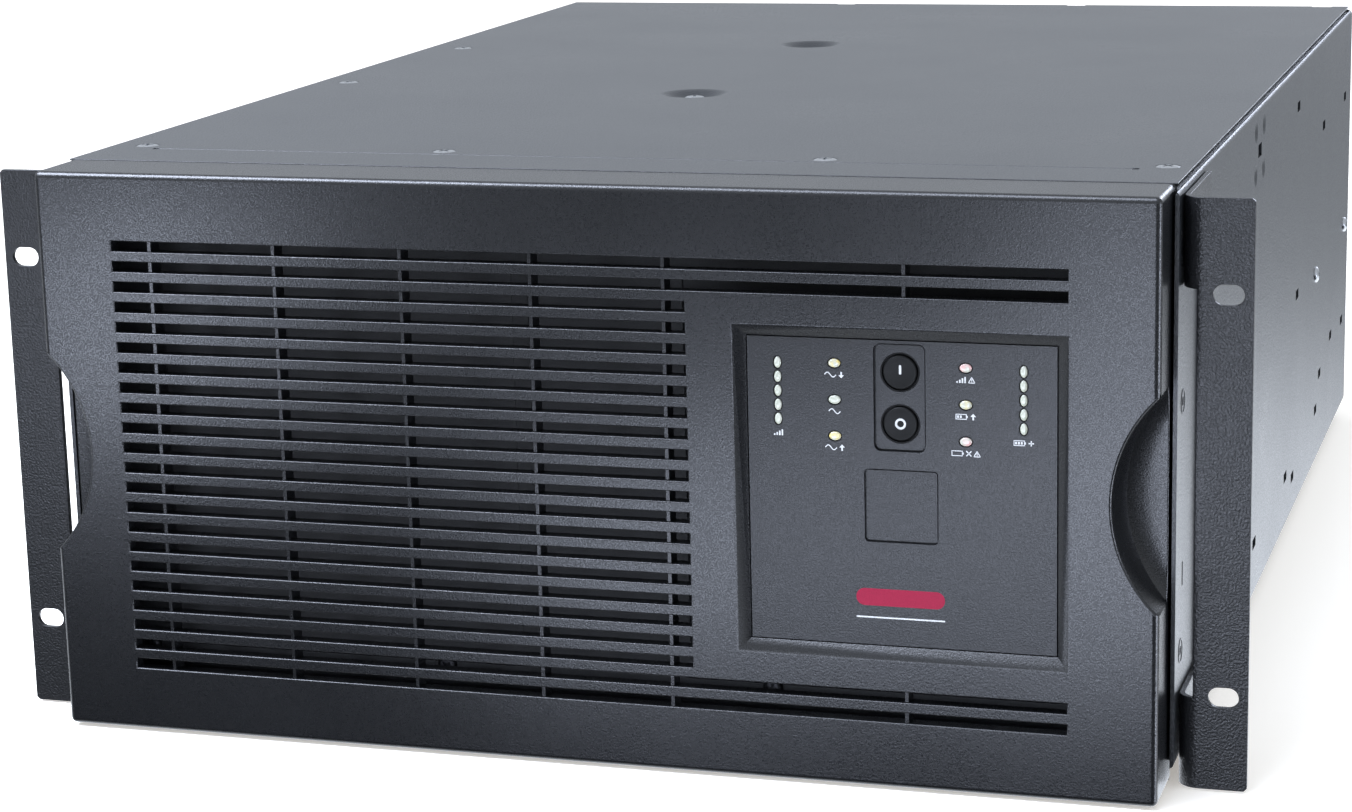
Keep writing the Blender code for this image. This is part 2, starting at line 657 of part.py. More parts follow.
def make_rear_panel():
    panel = piece("rear_panel", "case_paint",
                  block((-CASE_HALF, CASE_HALF), (REAR_INSIDE, REAR), (CASE_BOTTOM, FLANGE_TOP)))
    low = REAR_INSIDE - 1
    high = REAR + 1
    holes = [prism("Y", circle(x, z, FAN_BORE, 24), low, high) for x, z in FAN_PLACES]
    holes += [prism("Y", centred(x, z, OUTLET_COUNT * OUTLET_PITCH + 0.8, 30.8), low, high)
              for x, z in OUTLET_PLACES]
    holes += [prism("Y", centred(x, z, 36.8, 30.8), low, high) for x, z in LARGE_OUTLET_PLACES]
    holes += [prism("Y", circle(x, z, 8.0, 12), low, high) for x, z in BREAKER_PLACES]
    holes.append(prism("Y", centred(*SLOT_COVER_PLACE, 100, 20), low, high))
    holes.append(prism("Y", centred(*SERIAL_PLACE, 20.8, 11.8), low, high))
    holes.append(prism("Y", centred(*EXPANSION_PLACE, 52.8, 24.8), low, high))
    holes.append(prism("Y", circle(*GROUND_PLACE, 3.6, 8), low, high))
    holes.append(prism("Y", centred((COVER_X[0] + COVER_X[1]) / 2, 90, 70, 30), low, high))
    carve(panel, *holes)


def make_fan(tag, x, z, pivot):
    half = FAN_SIZE / 2
    back = REAR_INSIDE - GAP
    front = back - FAN_DEPTH
    frame = piece(f"fan_frame_{tag}", "black_plastic",
                  prism("Y", rounded(x, z, FAN_SIZE, FAN_SIZE, 4, 2), front, back))
    carve(frame, prism("Y", circle(x, z, FAN_BORE, 24), front - 1, back + 1))
    struts = [block((x - half + 1, x - 13), (back - 3, back), (z - 2, z + 2)),
              block((x + 13, x + half - 1), (back - 3, back), (z - 2, z + 2)),
              block((x - 2, x + 2), (back - 3, back), (z - half + 1, z - 13)),
              block((x - 2, x + 2), (back - 3, back), (z + 13, z + half - 1)),
              turned("Y", x, z, [(back - 3, 15), (back, 15)], sides=16)]
    for strut in struts:
        merge(frame, strut)
    make_rotor(f"fan_rotor_{tag}", x, z, front + 1.5, back - 3.6, pivot)
    make_guard(f"fan_guard_{tag}", x, z)


def make_rotor(name, x, z, front, back, pivot):
    hub = piece(name, "black_plastic",
                turned("Y", x, z, [(front, 14.5), (front + 1.5, 16.0), (back, 16.0)], sides=16),
                pivot=pivot)
    blades = []
    count = 7
    for k in range(count):
        start = 2 * math.pi * k / count
        levels = []
        for radius, spread in ((14.0, 0.62), (25.0, 0.50), (36.2, 0.44)):
            levels.append((radius, start, spread))
        blades.append(levels)
    merge(hub, *[blade_shape(x, z, front + 2.5, back - 1.0, blade) for blade in blades])


def blade_shape(x, z, front, back, stations):
    """A fan blade, skinned from its leading edge to its trailing edge."""
    thickness = 0.07
    steps = 3
    levels = []
    for k in range(steps + 1):
        share = k / steps
        outline = []
        for radius, start, spread in stations:
            angle = start + spread * share - thickness / 2
            outline.append((x + radius * math.cos(angle), z + radius * math.sin(angle)))
        for radius, start, spread in reversed(stations):
            angle = start + spread * share + thickness / 2
            outline.append((x + radius * math.cos(angle), z + radius * math.sin(angle)))
        levels.append((front + (back - front) * share, outline))
    return "Y", levels


def make_guard(name, x, z):
    front = REAR + GAP
    back = front + 2.0
    wire = 1.0
    cross = [block((x - 40, x + 40), (front, back), (z - wire, z + wire))]
    guard = piece(name, "bright_steel", *cross)
    merge(guard, block((x - wire, x + wire), (front, back), (z - 40, z + 40)))
    for radius in (12.0, 22.0, 32.0):
        merge_ring(guard, x, z, radius - wire, radius + wire, front + 0.2, back - 0.2)


def merge_ring(target, x, z, inner, outer, low, high):
    """Join a flat ring, made as four arcs that close on the wires of the cross."""
    quarter = math.pi / 2
    steps = 4
    arcs = []
    for k in range(4):
        sweep = [k * quarter + quarter * (j / steps) for j in range(steps + 1)]
        outline = [(x + outer * math.cos(a), z + outer * math.sin(a)) for a in sweep]
        outline += [(x + inner * math.cos(a), z + inner * math.sin(a)) for a in reversed(sweep)]
        arcs.append(prism("Y", outline, low, high))
    merge(target, arcs[0], arcs[2])
    merge(target, arcs[1], arcs[3])


def make_outlets():
    face = REAR + GAP
    for tag, (x, z) in zip(("upper", "lower"), OUTLET_PLACES):
        width = OUTLET_COUNT * OUTLET_PITCH
        outlet = piece(f"outlet_bank_{tag}", "black_plastic",
                       prism("Y", centred(x, z, width, 30), REAR_INSIDE - 22, face + 1))
        merge(outlet, prism("Y", centred(x, z, width + 6, 36), face, face + 2.5))
        spots = [x + (k - (OUTLET_COUNT - 1) / 2) * OUTLET_PITCH for k in range(OUTLET_COUNT)]
        carve(outlet, *[prism("Y", socket(a, z, 27, 19, 5), face - 16, face + 4) for a in spots])
        merge(outlet, *[prism("Y", socket(a, z, 22, 14, 4), face - 17, face + 1.5) for a in spots])
    for tag, (x, z) in zip(("upper", "lower"), LARGE_OUTLET_PLACES):
        outlet = piece(f"outlet_large_{tag}", "black_plastic",
                       prism("Y", centred(x, z, 36, 30), REAR_INSIDE - 24, face + 1))
        merge(outlet, prism("Y", centred(x, z, 42, 36), face, face + 2.5))
        carve(outlet, prism("Y", rounded(x, z, 30.5, 23.5, 2, 1), face - 18, face + 4))
        merge(outlet, prism("Y", rounded(x, z, 25, 18, 2, 1), face - 19, face + 1.5))


def make_breaker(tag, x, z, pivot):
    body = piece(f"breaker_{tag}", "black_plastic",
                 prism("Y", centred(x, z, 24, 24), REAR_INSIDE - GAP - 32, REAR_INSIDE - GAP))
    merge(body, turned("Y", x, z, [(REAR_INSIDE - 4, 7.6), (REAR + 4, 7.6)], sides=12))
    carve(body, turned("Y", x, z, [(REAR_INSIDE - 22, 5.0), (REAR + 5, 5.0)], sides=12))
    piece(f"breaker_button_{tag}", "connector_grey",
          turned("Y", x, z, [(REAR_INSIDE - 20, 4.5), (REAR + 6.2, 4.5), (REAR + 7, 3.8)], sides=12),
          pivot=pivot)


def make_input_cover():
    low = REAR + GAP
    cover = piece("input_terminal_cover", "case_paint", block(COVER_X, (low, BACK), COVER_Z))
    carve(cover, block((COVER_X[0] + SHEET, COVER_X[1] - SHEET), (low - 1, BACK - SHEET),
                       (COVER_Z[0] + SHEET, COVER_Z[1] - SHEET)))
    carve(cover, turned("Z", GLAND_X, (low + BACK) / 2,
                        [(COVER_Z[0] - 1, 7.2), (COVER_Z[0] + 3, 7.2)], 12))
    bottom = COVER_Z[0]
    gland = piece("cable_gland", "black_plastic",
                  turned("Z", GLAND_X, (low + BACK) / 2,
                         [(bottom - 22, 6.5), (bottom - 16, 9.4), (bottom - 9, 9.4),
                          (bottom - 8.9, 8.2), (bottom - 5.1, 8.2), (bottom - 5, 10.2),
                          (bottom - GAP, 10.2), (bottom - GAP + 0.02, 6.8), (bottom + 7, 6.8)], 12))
    carve(gland, turned("Z", GLAND_X, (low + BACK) / 2, [(bottom - 23, 4.6), (bottom + 8, 4.6)], 12))


def make_rear_connectors():
    face = REAR + GAP
    x, z = EXPANSION_PLACE
    power = piece("expansion_battery_connector", "connector_grey",
                  prism("Y", centred(x, z, 52, 24), REAR_INSIDE - 20, face + 8))
    merge(power, prism("Y", centred(x, z, 62, 30), face, face + 2))
    carve(power, *[prism("Y", centred(x + dx, z, 20, 15), face - 15, face + 9) for dx in (-12, 12)])
    merge(power, *[prism("Y", centred(x + dx, z, 13.6, 9), face - 16, face + 4)
                   for dx in (-12, 12)])
    x, z = SLOT_COVER_PLACE
    cover = piece("accessory_slot_cover", "bright_steel",
                  prism("Y", centred(x, z, 122, 26), face, face + 1.2))
    merge(cover, *[turned("Y", x + dx, z, [(face + 0.6, 4.5), (face + 7, 4.5), (face + 7.8, 3.8)], 12)
                   for dx in (-54, 54)])
    x, z = SERIAL_PLACE
    port = piece("serial_port", "bright_steel",
                 prism("Y", centred(x, z, 20, 11), REAR_INSIDE - 8, face + 0.5))
    merge(port, prism("Y", centred(x, z, 31, 12.5), face, face + 1))
    shell = [(x - 8.2, z + 4.0), (x + 8.2, z + 4.0), (x + 6.8, z - 4.0), (x - 6.8, z - 4.0)]
    merge(port, prism("Y", shell, face + 0.5, face + 6))
    x, z = GROUND_PLACE
    piece("ground_stud", "brass_stud",
          turned("Y", x, z, [(REAR_INSIDE - 8, 3.0), (face, 3.0), (face + 0.01, 7.0),
                             (face + 1.2, 7.0), (face + 1.21, 5.5), (face + 6, 5.5),
                             (face + 6.01, 3.0), (face + 12, 3.0)], sides=12))


# Assembly ---------------------------------------------------------------------------------

def main():
    for thing in list(bpy.data.objects):
        bpy.data.objects.remove(thing, do_unlink=True)
    make_paints()
    make_base_pan()
    make_top_cover()
    make_front_frame()
    make_bulkhead()
    make_feet()
    make_ear("rack_ear_left", -1)
    make_ear("rack_ear_right", 1)
    bezel_pivot = make_pivot("bezel_pivot", 0, FRONT, GRIP_Z)
    make_bezel(bezel_pivot)
    panel_pivot = make_pivot("display_pivot", PANEL_X, FRONT, PANEL_Z, bezel_pivot)
    make_display_panel(panel_pivot)
    make_display_board(panel_pivot)
    for tag, x in (("load", BAR_X[0]), ("charge", BAR_X[1])):
        make_light_pipe(f"light_pipe_{tag}", bar_lens_places(x), BAR_LENS, panel_pivot)
    for tag, x in (("status_left", STATUS_X[0]), ("status_right", STATUS_X[1])):
        make_light_pipe(f"light_pipe_{tag}", status_lens_places(x), STATUS_LENS, panel_pivot)
    for name, z in (("test_button", TEST_Z), ("off_button", OFF_Z)):
        make_button(name, z, make_pivot(f"{name}_pivot", BUTTON_X, FRONT, z, panel_pivot))
    make_battery_door(make_pivot("door_pivot", 0, FACE, GRIP_Z))
    for tag, side in (("left", -1), ("right", 1)):
        make_battery_module(tag, side, make_pivot(f"battery_{tag}_pivot", side * BAY_X, TRAY_FRONT, 90))
    make_board()
    make_transformer()
    make_rear_panel()
    for tag, (x, z) in zip(("left", "right"), FAN_PLACES):
        make_fan(tag, x, z, make_pivot(f"fan_{tag}_pivot", x, REAR, z))
    make_outlets()
    for tag, (x, z) in zip(("upper", "lower"), BREAKER_PLACES):
        make_breaker(tag, x, z, make_pivot(f"breaker_{tag}_pivot", x, REAR, z))
    make_input_cover()
    make_rear_connectors()


main()
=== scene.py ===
import math
from itertools import product

import bmesh
import bpy
from mathutils import Matrix, Vector


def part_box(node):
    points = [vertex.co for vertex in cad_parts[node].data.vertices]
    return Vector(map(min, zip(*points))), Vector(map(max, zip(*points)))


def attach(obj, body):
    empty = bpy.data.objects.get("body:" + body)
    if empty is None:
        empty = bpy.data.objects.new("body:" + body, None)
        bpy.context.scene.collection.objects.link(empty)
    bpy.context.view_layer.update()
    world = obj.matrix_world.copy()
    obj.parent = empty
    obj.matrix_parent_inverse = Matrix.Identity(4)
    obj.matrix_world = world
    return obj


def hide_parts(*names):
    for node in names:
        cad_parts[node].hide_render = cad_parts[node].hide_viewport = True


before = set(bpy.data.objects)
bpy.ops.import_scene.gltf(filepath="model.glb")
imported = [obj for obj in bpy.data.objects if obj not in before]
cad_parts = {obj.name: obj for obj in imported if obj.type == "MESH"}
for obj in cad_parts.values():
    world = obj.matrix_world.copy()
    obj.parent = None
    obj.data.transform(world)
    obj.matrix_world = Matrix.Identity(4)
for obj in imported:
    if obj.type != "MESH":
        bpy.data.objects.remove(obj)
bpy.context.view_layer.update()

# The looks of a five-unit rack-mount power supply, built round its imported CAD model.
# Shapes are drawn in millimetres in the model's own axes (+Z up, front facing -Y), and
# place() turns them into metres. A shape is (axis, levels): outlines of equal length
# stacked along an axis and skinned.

MM = 0.001
TAU = 2 * math.pi
SHARP = math.radians(32)
AXIS_ORDER = {"X": (2, 0, 1), "Y": (0, 2, 1), "Z": (0, 1, 2)}


class Box:
    """A CAD node's box at rest, in millimetres."""

    def __init__(self, node):
        low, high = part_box(node)
        self.left, self.front, self.bottom = (value / MM for value in low)
        self.right, self.back, self.top = (value / MM for value in high)
        self.x = (self.left + self.right) / 2
        self.y = (self.front + self.back) / 2
        self.z = (self.bottom + self.top) / 2
        self.width = self.right - self.left
        self.height = self.top - self.bottom


BEZEL = Box("bezel")
PANEL = Box("display_panel")
PAN = Box("base_pan")
COVER = Box("top_cover")
FRAME = Box("front_frame")
REAR = Box("rear_panel")
FRONT = BEZEL.front


# Outlines ---------------------------------------------------------------------------------

def rect(a0, a1, b0, b1):
    return [(a0, b0), (a1, b0), (a1, b1), (a0, b1)]


def centred(a, b, width, height):
    return rect(a - width / 2, a + width / 2, b - height / 2, b + height / 2)


def fluted(a, b, radii, sides):
    """A round outline whose corners lie at two radii by turns."""
    return [(a + radii[k % 2] * math.cos(TAU * k / sides),
             b + radii[k % 2] * math.sin(TAU * k / sides)) for k in range(sides)]


def circle(a, b, radius, sides=40):
    return fluted(a, b, (radius, radius), sides)


def oval(a, b, width, height, sides=32):
    return [(a + width / 2 * math.cos(TAU * k / sides), b + height / 2 * math.sin(TAU * k / sides))
            for k in range(sides)]


def fillet(points, radii, steps=5):
    """Round each corner of a closed outline with an arc of its own radius."""
    result = []
    count = len(points)
    for index, corner in enumerate(points):
        corner = Vector(corner)
        radius = radii[index]
        if radius == 0:
            result.append(tuple(corner))
            continue
        to_last = (Vector(points[index - 1]) - corner).normalized()
        to_next = (Vector(points[(index + 1) % count]) - corner).normalized()
        half = to_last.angle(to_next) / 2
        centre = corner + (to_last + to_next).normalized() * radius / math.sin(half)
        start = corner + to_last * radius / math.tan(half) - centre
        end = corner + to_next * radius / math.tan(half) - centre
        first = math.atan2(start.y, start.x)
        sweep = math.remainder(math.atan2(end.y, end.x) - first, TAU)
        for k in range(steps + 1):
            angle = first + sweep * k / steps
            result.append((centre.x + radius * math.cos(angle),
                           centre.y + radius * math.sin(angle)))
    return result


def rounded(a, b, width, height, radius, steps=5):
    return fillet(centred(a, b, width, height), [radius] * 4, steps)


def corners(a, b, reach):
    """The four corners of a square that reaches so far from (a, b)."""
    return [(a + da, b + db) for da in (-reach, reach) for db in (-reach, reach)]


def span(side, a, b):
    """Two distances from the middle plane as low and high, on the left or the right."""
    return sorted((side * a, side * b))


# Meshes -----------------------------------------------------------------------------------

def prism(axis, outline, low, high):
    return axis, [(low, outline), (high, outline)]


def block(x, y, z):
    return prism("Z", rect(x[0], x[1], y[0], y[1]), z[0], z[1])


def turned(axis, a, b, profile, sides=40):
    """A round shape about an axis through (a, b), from (position, radius) steps."""
    return axis, [(position, circle(a, b, radius, sides)) for position, radius in profile]


def place(axis, a, b, position):
    order = AXIS_ORDER[axis]
    values = (a, b, position)
    return Vector(values[k] for k in order) * MM


def link(name, data):
    thing = bpy.data.objects.new(name, data)
    bpy.context.scene.collection.objects.link(thing)
    return thing


def new_object(name, bm):
    bmesh.ops.recalc_face_normals(bm, faces=bm.faces)
    mesh = bpy.data.meshes.new(name)
    bm.to_mesh(mesh)
    bm.free()
    return link(name, mesh)


def evaluated_mesh(thing):
    bpy.context.view_layer.update()
    depsgraph = bpy.context.evaluated_depsgraph_get()
    return bpy.data.meshes.new_from_object(thing.evaluated_get(depsgraph))


def make(name, *shapes):
    """One object holding the skinned and capped stack of outlines of each shape."""
    bm = bmesh.new()
    for axis, levels in shapes:
        rings = [[bm.verts.new(place(axis, a, b, position)) for a, b in outline]
                 for position, outline in levels]
        for lower, upper in zip(rings, rings[1:]):
            for k in range(len(lower)):
                following = (k + 1) % len(lower)
                bm.faces.new((lower[k], lower[following], upper[following], upper[k]))
        bm.faces.new(list(reversed(rings[0])))
        bm.faces.new(rings[-1])
    return new_object(name, bm)


def grid_solid(name, xs, ys, zs, filled):
    """A solid made of the filled cells between coordinate lines, with shared corners."""
    lines = (xs, ys, zs)
    bm = bmesh.new()
    made = {}
    cells = set()
    for cell in product(*[range(len(line) - 1) for line in lines]):
        if filled(*[(line[n] + line[n + 1]) / 2 for line, n in zip(lines, cell)]):
            cells.add(cell)

    def vertex(index):
        if index not in made:
            made[index] = bm.verts.new(Vector(line[n] for line, n in zip(lines, index)) * MM)
        return made[index]

    for cell, axis, side in product(cells, range(3), (0, 1)):
        beyond = list(cell)
        beyond[axis] += 2 * side - 1
        if tuple(beyond) in cells:
            continue
        first, second = [n for n in range(3) if n != axis]
        quad = []
        for a, b in ((0, 0), (1, 0), (1, 1), (0, 1)):
            index = list(cell)
            index[axis] += side
            index[first] += a
            index[second] += b
            quad.append(vertex(tuple(index)))
        bm.faces.new(quad)
    return new_object(name, bm)


def settle(thing):
    """Swap an object's mesh for what its modifiers make of it."""
    mesh = evaluated_mesh(thing)
    old = thing.data
    thing.modifiers.clear()
    thing.data = mesh
    bpy.data.meshes.remove(old)
    return thing


def boolean(target, shapes, operation):
    tool = make("tool", *shapes)
    modifier = target.modifiers.new("Boolean", "BOOLEAN")
    modifier.operation = operation
    modifier.solver = "EXACT"
    modifier.object = tool
    settle(target)
    bpy.data.objects.remove(tool, do_unlink=True)
    return target


def carve(target, *shapes):
    return boolean(target, shapes, "DIFFERENCE")


def merge(target, *shapes):
    return boolean(target, shapes, "UNION")


def soften(thing, width, segments=3, weighted=False):
    """Round the edges: all sharp ones, or those that carry a bevel weight."""
    modifier = thing.modifiers.new("Bevel", "BEVEL")
    modifier.width = width * MM
    modifier.segments = segments
    modifier.limit_method = "WEIGHT" if weighted else "ANGLE"
    modifier.angle_limit = SHARP
    modifier.use_clamp_overlap = not weighted
    modifier.miter_outer = "MITER_SHARP" if weighted else "MITER_ARC"
    return settle(thing)


def join(name, things):
    """Gather several objects' meshes in one object, keeping their materials."""
    bm = bmesh.new()
    materials = []
    for thing in things:
        base = len(bm.faces)
        bm.from_mesh(thing.data)
        bm.faces.ensure_lookup_table()
        own = list(thing.data.materials)
        materials += [paint for paint in own if paint not in materials]
        for face in bm.faces[base:]:
            face.material_index = materials.index(own[face.material_index]) if own else 0
        bpy.data.objects.remove(thing, do_unlink=True)
    mesh = bpy.data.meshes.new(name)
    bm.to_mesh(mesh)
    bm.free()
    for paint in materials:
        mesh.materials.append(paint)
    return link(name, mesh)


def from_curve(name, curve, matrix):
    holder = link(name, curve)
    mesh = evaluated_mesh(holder)
    bpy.data.objects.remove(holder, do_unlink=True)
    bpy.data.curves.remove(curve)
    mesh.transform(matrix)
    bm = bmesh.new()
    bm.from_mesh(mesh)
    bpy.data.meshes.remove(mesh)
    bmesh.ops.remove_doubles(bm, verts=bm.verts, dist=1e-6)
    return new_object(name, bm)


def add_spline(curve, points, cyclic=True):
    spline = curve.splines.new("POLY")
    spline.points.add(len(points) - 1)
    for point, place_of in zip(spline.points, points):
        point.co = (*[value * MM for value in place_of], 1.0)
    spline.use_cyclic_u = cyclic


def plate(name, axis, outline, holes, low, high, edge=0.3):
    """A sheet with holes: filled outlines with depth, every rim rounded by edge."""
    curve = bpy.data.curves.new(name, "CURVE")
    curve.dimensions = "2D"
    curve.fill_mode = "BOTH"
    curve.extrude = ((high - low) / 2 - edge) * MM
    curve.bevel_depth = edge * MM
    curve.bevel_resolution = 1
    curve.offset = -edge * MM
    for rim in [outline] + holes:
        add_spline(curve, [(a, b, 0) for a, b in rim])
    columns = [place(axis, *step) / MM for step in ((1, 0, 0), (0, 1, 0), (0, 0, 1))]
    turn = Matrix(columns).transposed().to_4x4()
    return from_curve(name, curve, Matrix.Translation(place(axis, 0, 0, (low + high) / 2)) @ turn)


def ring(name, axis, spot, outer, inner, low, high, edge, sides=(40, 40)):
    """A flat ring round a spot, its outer rim's sides given before its hole's."""
    return plate(name, axis, circle(*spot, outer, sides[0]), [circle(*spot, inner, sides[1])],
                 low, high, edge)


def tube(name, points, radius, cyclic=False):
    """A round wire along points."""
    curve = bpy.data.curves.new(name, "CURVE")
    curve.dimensions = "3D"
    curve.bevel_depth = radius * MM
    curve.bevel_resolution = 3
    curve.use_fill_caps = True
    add_spline(curve, points, cyclic)
    return from_curve(name, curve, Matrix.Identity(4))


def smooth(mesh, angle):
    mesh.shade_smooth()
    mesh.set_sharp_from_angle(angle=math.radians(angle))


def coat(mesh, paint):
    mesh.materials.clear()
    mesh.materials.append(PAINTS[paint])


def finish(thing, paint, body, *nodes, edge=None):
    """Soften, shade, paint and mount a piece, in place of the CAD nodes it stands for."""
    if edge:
        soften(thing, edge)
    smooth(thing.data, 48)
    thing.modifiers.new("WeightedNormal", "WEIGHTED_NORMAL").keep_sharp = True
    if paint is not None:
        coat(thing.data, paint)
    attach(thing, body)
    if nodes:
        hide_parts(*nodes)


# Materials --------------------------------------------------------------------------------

PAINTS = {}


class Nodes:
    """A shader's node tree. Lengths are in millimetres."""

    def __init__(self, tree):
        self.tree = tree

    def node(self, kind, inputs, **settings):
        made = self.tree.nodes.new(kind)
        for key, value in settings.items():
            setattr(made, key, value)
        for key, value in inputs.items():
            if isinstance(value, bpy.types.NodeSocket):
                self.tree.links.new(value, made.inputs[key])
            else:
                made.inputs[key].default_value = value
        return made.outputs

    def remap(self, value, low, high, out_low=0.0, out_high=1.0, **settings):
        return self.node("ShaderNodeMapRange", {
            "Value": value, "From Min": low, "From Max": high,
            "To Min": out_low, "To Max": out_high}, **settings)[0]


class Paint(Nodes):
    """A material's nodes round one Principled shader."""

    def __init__(self, name, slot, roughness, metallic=0.0, **sockets):
        material = bpy.data.materials.new(name + "_finish")
        PAINTS[name] = material
        material["slot"] = slot
        material.use_nodes = True
        super().__init__(material.node_tree)
        self.shader = self.tree.nodes["Principled BSDF"]
        self.place = self.node("ShaderNodeTexCoord", {})["Object"]
        settings = {"Roughness": roughness, "Metallic": metallic}
        settings.update({key.replace("_", " "): value for key, value in sockets.items()})
        for key, value in settings.items():
            self.shader.inputs[key].default_value = value

    def lead(self, value, socket):
        self.tree.links.new(value, self.shader.inputs[socket])

    def noise(self, size, detail=2.0, stretch=None):
        spot = self.place
        if stretch:
            spot = self.node("ShaderNodeMapping", {"Vector": spot, "Scale": stretch})[0]
        return self.node("ShaderNodeTexNoise", {
            "Vector": spot, "Scale": 1 / (size * MM), "Detail": detail})["Fac"]

    def cells(self, size):
        return self.node("ShaderNodeTexVoronoi", {
            "Vector": self.place, "Scale": 1 / (size * MM)})["Distance"]

    def bands(self, axis, pitch):
        """A wave of the given pitch along an axis, from 0 to 1."""
        return self.node("ShaderNodeTexWave", {
            "Vector": self.place, "Scale": TAU / (20 * pitch * MM)},
            bands_direction=axis, wave_profile="SIN")["Fac"]

    def math(self, operation, first, second):
        return self.node("ShaderNodeMath", {0: first, 1: second}, operation=operation)[0]

    def total(self, first, weight, second, other_weight):
        """A weighted sum of two values."""
        return self.math("ADD", self.math("MULTIPLY", first, weight),
                         self.math("MULTIPLY", second, other_weight))

    def colour(self, dark, light, share):
        """Blend the base colour from a colour, or what was mixed before, to a second one."""
        if not isinstance(dark, bpy.types.NodeSocket):
            dark = (*dark, 1.0)
        tone = self.node("ShaderNodeMix", {"Factor": share, 6: dark, 7: (*light, 1.0)},
                         data_type="RGBA")[2]
        self.lead(tone, "Base Color")
        return tone

    def bump(self, height, depth):
        self.lead(self.node("ShaderNodeBump", {
            "Height": height, "Distance": depth * MM, "Strength": 1.0})["Normal"], "Normal")


def scaled(colour, factor):
    return tuple(min(1.0, value * factor) for value in colour)


def grained(name, colour, roughness, grain, depth, slot=None, contrast=0.25, edge_sheen=0.0,
            glints=0.03, **sockets):
    """Moulded, coated or cast surfaces: a dense fine grain in relief, gloss and tone."""
    paint = Paint(name, slot or name, roughness, **sockets)
    fine = paint.remap(paint.noise(grain, 2.0), 0.32, 0.68)
    pits = paint.remap(paint.noise(grain * 0.62, 0.0), 0.30, 0.70)
    drift = paint.noise(grain * 70, 1.0)
    tone = paint.colour(scaled(colour, 1 - contrast), scaled(colour, 1 + contrast),
                        paint.total(pits, 0.75, drift, 0.25))
    # Painted sheen: the edges are made lighter, found by pointiness and broken into patches.
    if edge_sheen:
        edge = paint.remap(paint.node("ShaderNodeNewGeometry", {})["Pointiness"], 0.52, 0.60)
        sheen_patches = paint.math("MULTIPLY", edge, paint.remap(paint.noise(6, 3), 0.4, 0.7))
        paint.colour(tone, scaled(colour, 1 + 4 * edge_sheen), sheen_patches)
    gloss = paint.remap(pits, 0.0, 1.0, roughness + glints, roughness - glints)
    paint.lead(paint.math("ADD", gloss, paint.remap(drift, 0.25, 0.75, -0.012, 0.012)),
               "Roughness")
    paint.bump(fine, depth)


def metal(name, colour, roughness, stretch=None, slot=None):
    """Bare metal with rolling or turning marks drawn out along one direction."""
    paint = Paint(name, slot or name, roughness, 1.0)
    streaks = paint.noise(1.6, 3.0, stretch)
    paint.colour(scaled(colour, 0.86), scaled(colour, 1.08),
                 paint.total(streaks, 0.7, paint.cells(7), 0.4))
    paint.lead(paint.remap(streaks, 0.2, 0.8, roughness - 0.08, roughness + 0.10), "Roughness")
    paint.bump(streaks, 0.004)


def pearl(name, tint):
    """Milky moulded lenses, tinted towards one end as their light sources are."""
    paint = Paint(name, "light_lens", 0.16, Coat_Weight=0.5, Coat_Roughness=0.08,
                  Emission_Strength=0.05)
    cloud = paint.remap(paint.noise(2.4, 1.0), 0.35, 0.65)
    paint.lead(paint.colour((0.28, 0.29, 0.25), tint, cloud), "Emission Color")
    paint.bump(paint.noise(0.8), 0.01)


def printed(name, colour, **sockets):
    paint = Paint(name, "panel_plastic", 0.55, **sockets)
    ink = paint.noise(0.35, 2.0)
    paint.colour(scaled(colour, 0.82), colour, paint.remap(ink, 0.3, 0.6))
    paint.bump(ink, 0.006)


